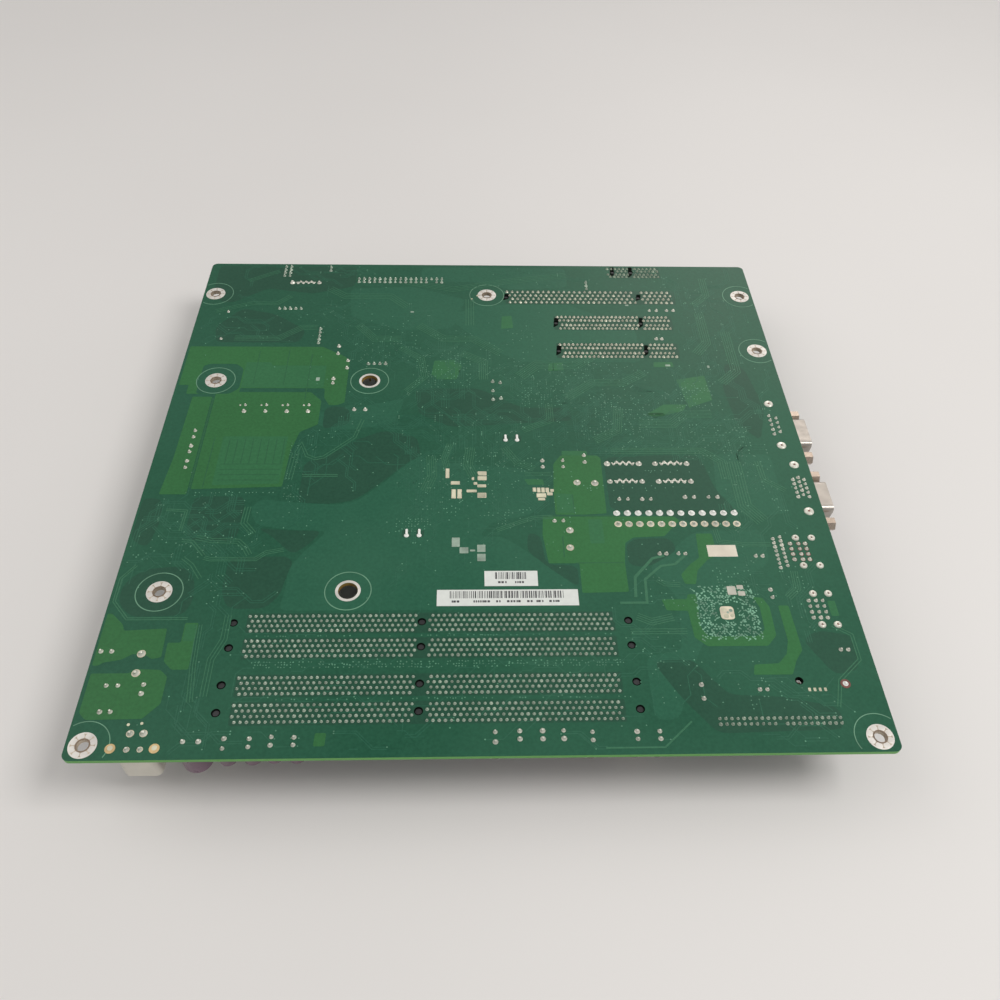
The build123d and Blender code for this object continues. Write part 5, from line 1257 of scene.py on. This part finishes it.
# groups of traces running side by side: the line of the middle one, how many, and their pitch
BUSES = [
    ([(94, 55), (94, 67), (109, 82), (109, 97)], 11, 0.65),
    ([(105, 55), (105, 66), (118, 79), (118, 97)], 12, 0.65),
    ([(126, 55), (126, 97)], 12, 0.65),
    ([(148, 55), (148, 66), (134, 80), (134, 97)], 12, 0.65),
    ([(168, 55), (168, 64), (144, 86), (144, 104), (140, 108)], 8, 0.65),
    ([(73, 112), (90, 112), (98, 106), (107, 106)], 16, 0.62),
    ([(73, 128), (92, 128), (100, 122), (107, 122)], 16, 0.62),
    ([(130, 134), (130, 150), (152, 172), (152, 188), (166, 198)], 10, 0.7),
    ([(122, 134), (122, 160), (150, 188), (150, 210), (158, 218), (166, 218)], 10, 0.7),
    ([(144, 122), (152, 130), (152, 146), (200, 190), (240, 190), (240, 80), (234, 70)], 8, 0.7),
    ([(112, 134), (112, 150), (104, 158), (104, 206), (92, 218), (92, 244)], 12, 0.65),
    ([(205, 54), (190, 54), (178, 66), (178, 82)], 10, 0.65),
    ([(214, 68), (214, 86), (208, 92)], 8, 0.65),
    ([(206, 44), (186, 44), (180, 38), (150, 12), (90, 12)], 6, 0.7),
    ([(226, 39), (226, 28), (222, 24), (222, 16)], 8, 0.65),
    ([(150, 230), (120, 230), (112, 222), (112, 194)], 10, 0.65),
    ([(22, 216), (34, 228), (62, 228), (72, 238), (72, 246)], 5, 0.7),
    ([(44, 98), (44, 84), (52, 76), (52, 56)], 8, 0.65),
    ([(58, 98), (58, 84), (66, 76), (66, 56)], 8, 0.65),
    ([(252, 170), (234, 170)], 6, 0.7),
    ([(234, 44), (250, 44), (256, 50), (256, 62)], 5, 0.7),
]
trace_mesh = bmesh.new()
for bus, count, pitch in BUSES:
    for line in range(count):
        level = 0.022 + 0.0006 * (line % 3)
        add_ribbon(trace_mesh, shifted(bus, (line - (count - 1) / 2) * pitch), 0.27, SINK, level, under)
finish_piece("component_traces", trace_mesh, [TRACE_MASK])

PRINT_WHITE = surface("outline_print", (0.72, 0.75, 0.71), 0.6, grain=1400, spread=0.08)
PRINTED = ["cpu_socket_body", "chipset_package", "southbridge_package", "super_io_chip", "network_chip",
           "small_chips", "main_power_connector", "cpu_power_connector", "processor_chokes",
           "processor_mosfets", "sata_ports", "ribbon_header_shroud", "panel_header_shroud",
           "pin_header_bases", "pci_slot", "pcie_x8_slot_1", "pcie_x8_slot_2", "dimm_socket_1",
           "dimm_socket_2", "dimm_socket_3", "dimm_socket_4", "crystal"]
PRINT_GAP = 1.5
PRINT_WIDTH = 0.2
print_mesh = bmesh.new()
for name in PRINTED:
    for low_x, low_y, high_x, high_y, _ in FOOTPRINTS[name]:
        x, y = (low_x + high_x) / 2, (low_y + high_y) / 2
        half_x, half_y = (high_x - low_x) / 2 + PRINT_GAP, (high_y - low_y) / 2 + PRINT_GAP
        if y - half_y < 1 or y + half_y > BOARD_WIDTH - 1:
            continue
        frame_line = [(x - half_x, y - half_y), (x + half_x, y - half_y), (x + half_x, y + half_y),
                      (x - half_x, y + half_y), (x - half_x, y - half_y + 1.2)]
        add_ribbon(print_mesh, frame_line, PRINT_WIDTH, SINK, 0.032, under)
for can in CANS + FOOTPRINTS["filter_inductors"] + FOOTPRINTS["battery_holder"]:
    x, y = middle_of(can)
    add_arc(print_mesh, x, y, (can[2] - can[0]) / 2 + 0.55, PRINT_WIDTH, SINK, 0.034, under, steps=40)
finish_piece("component_outlines", print_mesh, [PRINT_WHITE])

ring_mesh = bmesh.new()
for x, y in MOUNT_HOLES + COOLER_PLATED:
    add_sheet(ring_mesh, [circle_outline(x, y, MOUNT_RING, 48)], [circle_outline(x, y, 2.05, 48)],
              SINK, 0.05, under)
    for turn in range(8):
        spot = circle_outline(x, y, 3.3, 8, math.radians(22.5))[turn]
        add_turned(ring_mesh, *spot, [(0.98, 0.04), (0.88, 0.12), (0.55, 0.20), (0.2, 0.22)], 12, under)
add_sheet(ring_mesh, ringed(COOLER_CLEAR, 4.6), ringed(COOLER_CLEAR, CLEAR_RADIUS + 0.08), SINK, 0.05, under)
finish_piece("component_side_rings", ring_mesh, [PLATED])


# ---------------------------------------------------------------- component side: chips and small parts

LEAD_THICK = 0.16


def add_leads(bm, box, pitch, width, reach, sides, depth):
    """Gull-wing leads along some sides of a chip: a shoulder, a drop and a foot on the board."""
    low_x, low_y, high_x, high_y, _ = box
    x, y = middle_of(box)
    for side in sides:
        along_x = side in ("low_y", "high_y")
        run = (high_x - low_x if along_x else high_y - low_y) - 1.6
        count = int(run / pitch) + 1
        for i in range(count):
            offset = (i - (count - 1) / 2) * pitch
            sign = 1 if side in ("high_x", "high_y") else -1
            edge = {"low_x": low_x, "high_x": high_x, "low_y": low_y, "high_y": high_y}[side]
            for start, end, top, bottom in ((-0.1, reach * 0.45, depth - LEAD_THICK, depth),
                                            (reach * 0.45 - LEAD_THICK, reach * 0.45, 0.0, depth),
                                            (reach * 0.4, reach, 0.0, LEAD_THICK)):
                middle = edge + sign * (start + end) / 2
                if along_x:
                    outline = box_outline(x + offset, middle, width, end - start)
                else:
                    outline = box_outline(middle, y + offset, end - start, width)
                add_slab(bm, outline, top, bottom, under)


ALL_SIDES = ("low_x", "high_x", "low_y", "high_y")
lead_mesh = bmesh.new()
add_leads(lead_mesh, FOOTPRINTS["super_io_chip"][0], 0.65, 0.28, 1.25, ALL_SIDES, 1.3)
add_leads(lead_mesh, FOOTPRINTS["network_chip"][0], 0.5, 0.24, 0.9, ALL_SIDES, 0.8)
for chip in FOOTPRINTS["small_chips"]:
    add_leads(lead_mesh, chip, 1.27, 0.42, 1.1, ("low_y", "high_y"), 0.8)
for body in FOOTPRINTS["processor_mosfets"]:
    x, y = middle_of(body)
    for side in (-1, 1):
        add_slab(lead_mesh, box_outline(x + side * 2.28, body[1] - 1.0, 0.9, 2.2), 0.0, 0.5, under)
    add_slab(lead_mesh, box_outline(x, body[3] - 0.35, 5.3, 0.9), 0.0, 0.56, under)
finish_piece("chip_leads", lead_mesh, [SOLDER])

# the dot by pin one of each chip
MARK_DOT = surface("mark_dot", (0.10, 0.10, 0.105), 0.4, spread=0.2)
mark_mesh = bmesh.new()
for name in ("southbridge_package", "super_io_chip", "network_chip", "small_chips"):
    for chip in FOOTPRINTS[name]:
        size = min(chip[2] - chip[0], chip[3] - chip[1])
        spot = (chip[0] + size * 0.17, chip[1] + size * 0.17)
        dot = size * 0.05
        add_turned(mark_mesh, *spot, [(dot, chip[4] - 0.05), (dot, chip[4] + 0.015)], 16, under)
finish_piece("chip_marks", mark_mesh, [MARK_DOT])

CHIP_SIZES = [(1.0, 0.5, 0.35), (1.6, 0.8, 0.5), (1.6, 0.8, 0.8), (2.0, 1.25, 0.8)]
CERAMIC_TAN = surface("ceramic_tan", (0.34, 0.24, 0.15), 0.45, grain=1500, spread=0.15)
RESISTOR_BLACK = surface("resistor_glass", (0.018, 0.018, 0.02), 0.3, grain=1500, spread=0.3)
taken = [(box[0] - 1.7, box[1] - 1.7, box[2] + 1.7, box[3] + 1.7)
         for boxes in FOOTPRINTS.values() for box in boxes]
taken += [(x - 8.5, y - 8.5, x + 8.5, y + 8.5) for x, y in MOUNT_HOLES + COOLER_PLATED + COOLER_CLEAR]
small_mesh = bmesh.new()


def free(box):
    """Whether a rectangle lies on the board and clear of everything that stands on it."""
    if box[0] < 2 or box[1] < 2 or box[2] > BOARD_LENGTH - 2 or box[3] > BOARD_WIDTH - 2:
        return False
    return not any(box[0] < t[2] and t[0] < box[2] and box[1] < t[3] and t[1] < box[3] for t in taken)


SMALL_PART_ROWS = 420  # rows tried; a row ends where it finds no free place
PART_MARGIN = 0.3
for _ in range(SMALL_PART_ROWS):
    start_x, start_y = PART_DICE.uniform(4, 262), PART_DICE.uniform(4, 258)
    length, width, height = PART_DICE.choice(CHIP_SIZES)
    upright = PART_DICE.random() < 0.5
    body_material = PART_DICE.choice((0, 0, 1))
    across, along = (width, length) if upright else (length, width)
    for place_in_row in range(PART_DICE.randint(1, 5)):
        x = start_x + place_in_row * (across + 0.7)
        spot = (x - across / 2 - PART_MARGIN, start_y - along / 2 - PART_MARGIN,
                x + across / 2 + PART_MARGIN, start_y + along / 2 + PART_MARGIN)
        if not free(spot):
            break
        taken.append(spot)
        inner = box_outline(x, start_y, across * (1.0 if upright else 0.6), along * (0.6 if upright else 1.0))
        add_slab(small_mesh, inner, 0.0, height, under, body_material)
        for side in (-1, 1):
            cap_x = x + (0 if upright else side * across * 0.4)
            cap_y = start_y + (side * along * 0.4 if upright else 0)
            cap = box_outline(cap_x, cap_y, across * (1.02 if upright else 0.22),
                              along * (0.22 if upright else 1.02))
            add_slab(small_mesh, cap, 0.0, height + 0.02, under, 2)
finish_piece("small_parts", small_mesh, [CERAMIC_TAN, RESISTOR_BLACK, SOLDER])

VIAS_TRIED = 1500
via_mesh = bmesh.new()
for _ in range(VIAS_TRIED):
    x, y = PART_DICE.uniform(3, 263), PART_DICE.uniform(3, 261)
    if free((x - 0.3, y - 0.3, x + 0.3, y + 0.3)) and not any(inside((x, y), cut) for cut in HOLE_CUTS):
        add_turned(via_mesh, x, y, [(0.28, SINK), (0.25, 0.045)], 8, under)
finish_piece("component_vias", via_mesh, [VIA_MASK])


# ---------------------------------------------------------------- component side: wound and canned parts

ALUMINIUM = surface("can_aluminium", (0.66, 0.66, 0.65), 0.3, metal=1.0, grain=700, spread=0.06)
VENT_SHADE = surface("painted_vent_shade", (0.16, 0.16, 0.17), 0.5, metal=0.6, grain=700, spread=0.1)
STRIPE = surface("sleeve_stripe", (0.55, 0.50, 0.58), 0.35, grain=700, spread=0.08)
top_mesh = bmesh.new()
stripe_mesh = bmesh.new()
for low_x, low_y, high_x, high_y, depth in CANS:
    x, y, radius = (low_x + high_x) / 2, (low_y + high_y) / 2, (high_x - low_x) / 2
    disc = radius - 0.75
    cap = [(disc, depth - 0.1), (disc, depth + 0.05), (disc - 0.1, depth + 0.08)]
    add_turned(top_mesh, x, y, cap, 28, under)
    # dark lines on each top: painted shade in its scored vent
    for turn in (30, 150, 270):
        tip = (x + disc * 0.75 * math.cos(math.radians(turn)), y + disc * 0.75 * math.sin(math.radians(turn)))
        add_ribbon(top_mesh, [(x, y), tip], 0.22, depth, depth + 0.10 + turn * 1e-5, under, 1)
    heading = 90 if y < 12 else PART_DICE.choice((0, 90, 180, 270))
    turns = [math.radians(heading + step * 6) for step in range(-4, 5)]
    outer = [(x + (radius + 0.05) * math.cos(t), y + (radius + 0.05) * math.sin(t)) for t in turns]
    inner = [(x + (radius - 0.2) * math.cos(t), y + (radius - 0.2) * math.sin(t)) for t in turns[::-1]]
    add_slab(stripe_mesh, outer + inner, 0.5, depth - 0.6, under)
finish_piece("capacitor_tops", top_mesh, [ALUMINIUM, VENT_SHADE])
finish_piece("capacitor_stripes", stripe_mesh, [STRIPE])

WIRE_PITCH = 0.9
coil_mesh = bmesh.new()
for drum in FOOTPRINTS["filter_inductors"]:
    x, y = middle_of(drum)
    profile = [(4.05, 1.25)]
    layers = int((drum[4] - 2.6) / WIRE_PITCH)
    for layer in range(layers):
        start = 1.3 + layer * WIRE_PITCH
        for share, radius in ((0.0, 4.35), (0.2, 4.68), (0.5, 4.80), (0.8, 4.68)):
            profile.append((radius, start + share * WIRE_PITCH))
    profile.append((4.05, 1.35 + layers * WIRE_PITCH))
    add_turned(coil_mesh, x, y, profile, 32, under)
finish_piece("inductor_windings", coil_mesh, [COPPER_WIRE], smooth=True)

# the flat ends of each choke's winding, folded under its block
choke_mesh = bmesh.new()
for choke in FOOTPRINTS["processor_chokes"]:
    x, y = middle_of(choke)
    for side in (-1, 1):
        add_slab(choke_mesh, box_outline(x + side * 5.35, y, 0.5, 3.0), 0.0, 3.2, under)
finish_piece("choke_terminals", choke_mesh, [SOLDER])


# ---------------------------------------------------------------- component side: contacts

SOCKET_MIDDLE = middle_of(FOOTPRINTS["cpu_socket_body"][0])
SOCKET_FLOOR = 1.4
SOCKET_REACH = 16.8
SOCKET_WINDOW = 7.4
LAND_PITCH = 1.12
land_mesh = bmesh.new()
for i in range(31):
    for j in range(31):
        x = (i - 15) * LAND_PITCH
        y = (j - 15) * LAND_PITCH
        if max(abs(x), abs(y)) > SOCKET_REACH or max(abs(x), abs(y)) < SOCKET_WINDOW:
            continue
        land = box_outline(SOCKET_MIDDLE[0] + x, SOCKET_MIDDLE[1] + y, 0.55, 0.28, 35)
        add_slab(land_mesh, land, SOCKET_FLOOR - 0.05, SOCKET_FLOOR + 0.5, under)
finish_piece("cpu_socket_contacts", land_mesh, [CONTACT])

# name, x of both ends, y, half of the slot's width, pitch, top and bottom of the contacts, the key
CARD_SLOTS = [(f"dimm_{number + 1}", 49.0, 180.0, y, 0.80, 1.0, 3.4, 9.0, DIMM_KEY)
              for number, y in enumerate(DIMM_Y)]
CARD_SLOTS += [("pci", 146.5, 226.5, 238.1, 0.95, 1.27, 4.0, 10.4, 210.2),
               ("pcie_x8_1", 170.5, 221.8, 218.3, 0.90, 1.0, 4.0, 10.4, 209.0),
               ("pcie_x8_2", 170.5, 221.8, 198.0, 0.90, 1.0, 4.0, 10.4, 209.0),
               ("pcie_x1", 201.5, 221.8, 259.0, 0.90, 1.0, 4.0, 10.4, 209.0)]
for name, first, last, y, half, pitch, top, bottom, key in CARD_SLOTS:
    blade_mesh = bmesh.new()
    for step in range(int((last - first) / pitch) + 1):
        x = first + step * pitch
        if abs(x - key) < 1.6:
            continue
        for side in (-1, 1):
            blade = box_outline(x, y + side * (half - 0.08), pitch * 0.55, 0.22)
            add_slab(blade_mesh, blade, top, bottom, under)
    finish_piece(f"{name}_contacts", blade_mesh, [CONTACT])

strip_mesh = bmesh.new()
for port in FOOTPRINTS["sata_ports"]:
    x, y = middle_of(port)
    for i in range(7):
        add_slab(strip_mesh, box_outline(x + (i - 3) * 1.27, y - 0.02, 0.7, 0.12), 2.6, 7.8, under)
finish_piece("sata_contacts", strip_mesh, [CONTACT])

# rear ports: pins, sockets, spring contacts and the strips on the tongues
D_DEPTH = 6.3
SERIAL_Y = 149.75
VGA_Y = 113.5
PIN_ROWS = ((5, 2.77, -1.42), (4, 2.77, 1.42))
HOLE_ROWS = ((5, 2.29, -1.98), (5, 2.29, 0.0), (5, 2.29, 1.98))
pin_mesh = bmesh.new()
for count, pitch, rise in PIN_ROWS:
    for i in range(count):
        y = SERIAL_Y + (i - (count - 1) / 2) * pitch
        add_rod(pin_mesh, under(267.5, y, D_DEPTH + rise), under(272.4, y, D_DEPTH + rise), 0.5)
finish_piece("serial_port_pins", pin_mesh, [CONTACT])

VGA_FACE = 272.5
hole_mesh = bmesh.new()
for count, pitch, rise in HOLE_ROWS:
    for i in range(count):
        y = VGA_Y + (i - (count - 1) / 2) * pitch
        # a gold ring, and a black disc in it painted as the shade of the hole
        for proud, radius, material in ((0.03, 0.62, 0), (0.06, 0.4, 1)):
            start = under(VGA_FACE - 0.3, y, D_DEPTH + rise)
            end = under(VGA_FACE + proud, y, D_DEPTH + rise)
            add_rod(hole_mesh, start, end, radius, material=material)
finish_piece("vga_port_sockets", hole_mesh, [CONTACT, PAINTED_HOLE_SHADE])

LAN_Y = 81.1
USB_Y = 55.0
USB_MOUTHS = [(LAN_Y, 4.4), (LAN_Y, 11.4), (USB_Y, 4.4), (USB_Y, 11.9), (USB_Y, 19.4)]
strip_mesh = bmesh.new()
for y, depth in USB_MOUTHS:
    for offset in (-3.5, -1.0, 1.0, 3.5):
        add_slab(strip_mesh, box_outline(260.5, y + offset, 9.0, 1.1), depth + 0.35, depth + 0.46, under)
for i in range(8):
    y = LAN_Y + (i - 3.5) * 1.02
    add_rod(strip_mesh, under(265.3, y, 17.0), under(256.0, y, 19.6), 0.22)
finish_piece("usb_and_network_contacts", strip_mesh, [CONTACT])

# folded springs around the port mouths, standing a little proud of the can
SPRING_X = 266.62
HALF_SPRING = 1.6
spring_mesh = bmesh.new()
for y, depth in USB_MOUTHS:
    for offset in (-3.6, 3.6):
        for rise in (-3.05, 3.05):
            start = under(SPRING_X, y + offset - HALF_SPRING, depth + rise)
            end = under(SPRING_X, y + offset + HALF_SPRING, depth + rise)
            add_rod(spring_mesh, start, end, 0.22)
finish_piece("port_springs", spring_mesh, [SHELL])

cell_mesh = bmesh.new()
cell = FOOTPRINTS["battery_cell"][0]
cell_x, cell_y = middle_of(cell)
add_sheet(cell_mesh, [circle_outline(cell_x, cell_y, 8.7, 64)], [circle_outline(cell_x, cell_y, 8.3, 64)],
          cell[4] - 0.05, cell[4] + 0.04, under)
finish_piece("battery_cell_rim", cell_mesh, [CELL], body="battery_cell")


# ---------------------------------------------------------------- camera, light and floor

CAMERA_AT = (127.34, -128.53, 271.49)  # over the board's corner and solder face, mm
CAMERA_RIGHT = Vector((0.99942, -0.02385, 0.02439))
CAMERA_UP = Vector((0.00201, 0.75499, 0.65574))

camera_data = bpy.data.cameras.new("camera")
camera_data.lens = 32.97
camera_data.sensor_width = 36.0
camera_data.clip_start = 0.01
camera = bpy.data.objects.new("camera", camera_data)
bpy.context.scene.collection.objects.link(camera)
right = CAMERA_RIGHT.normalized()
up = (CAMERA_UP - right * CAMERA_UP.dot(right)).normalized()
back = right.cross(up)
camera.matrix_world = Matrix.Translation(at(*CAMERA_AT)) @ Matrix((right, up, back)).transposed().to_4x4()
bpy.context.scene.camera = camera


def add_light(name, spot, target, size, watts, colour=(1.0, 1.0, 1.0)):
    """A square area light that faces a point."""
    data = bpy.data.lights.new(name, "AREA")
    data.size = size
    data.energy = watts
    data.color = colour
    light = bpy.data.objects.new(name, data)
    bpy.context.scene.collection.objects.link(light)
    light.location = spot
    light.rotation_euler = (Vector(target) - Vector(spot)).to_track_quat("-Z", "Y").to_euler()
    return light


add_light("key_light", (0.72, -0.21, 1.05), (0.0, 0.0, 0.02), 0.5, 7.2, (1.0, 0.985, 0.965))
add_light("fill_light", (-0.80, 0.20, 0.90), (0.0, 0.1, 0.02), 0.9, 2.5, (1.0, 0.97, 0.94))
back_glow = add_light("back_glow", (0.55, 1.15, 0.80), (0.0, 0.0, 0.02), 0.8, 3.8, (1.0, 0.93, 0.88))
back_glow.data.use_shadow = False  # it only puts a sheen on the board
back_glow.visible_diffuse = False
bpy.context.scene.view_settings.view_transform = "Standard"

world = bpy.data.worlds.new("studio")
world.use_nodes = True
world.node_tree.nodes["Background"].inputs["Color"].default_value = (1.0, 0.985, 0.975, 1.0)
world.node_tree.nodes["Background"].inputs["Strength"].default_value = 0.45
bpy.context.scene.world = world

floor_material, floor_nodes, floor_links, floor_shader = new_material("studio_floor")
cloud = noise(floor_nodes, floor_links, 3.0)
floor_links.new(blended(floor_nodes, floor_links, ranged(floor_nodes, floor_links, cloud, 0, 1),
                        (0.80, 0.78, 0.76), (0.83, 0.81, 0.79)), floor_shader.inputs["Base Color"])
floor_shader.inputs["Roughness"].default_value = 0.6
FLOOR_SIZE = 3.0
floor_mesh = bpy.data.meshes.new("studio_floor")
floor_mesh.from_pydata([(-FLOOR_SIZE, -FLOOR_SIZE, 0), (FLOOR_SIZE, -FLOOR_SIZE, 0),
                        (FLOOR_SIZE, FLOOR_SIZE, 0), (-FLOOR_SIZE, FLOOR_SIZE, 0)], [], [(0, 1, 2, 3)])
floor_mesh.materials.append(floor_material)
floor = bpy.data.objects.new("studio_floor", floor_mesh)
bpy.context.scene.collection.objects.link(floor)
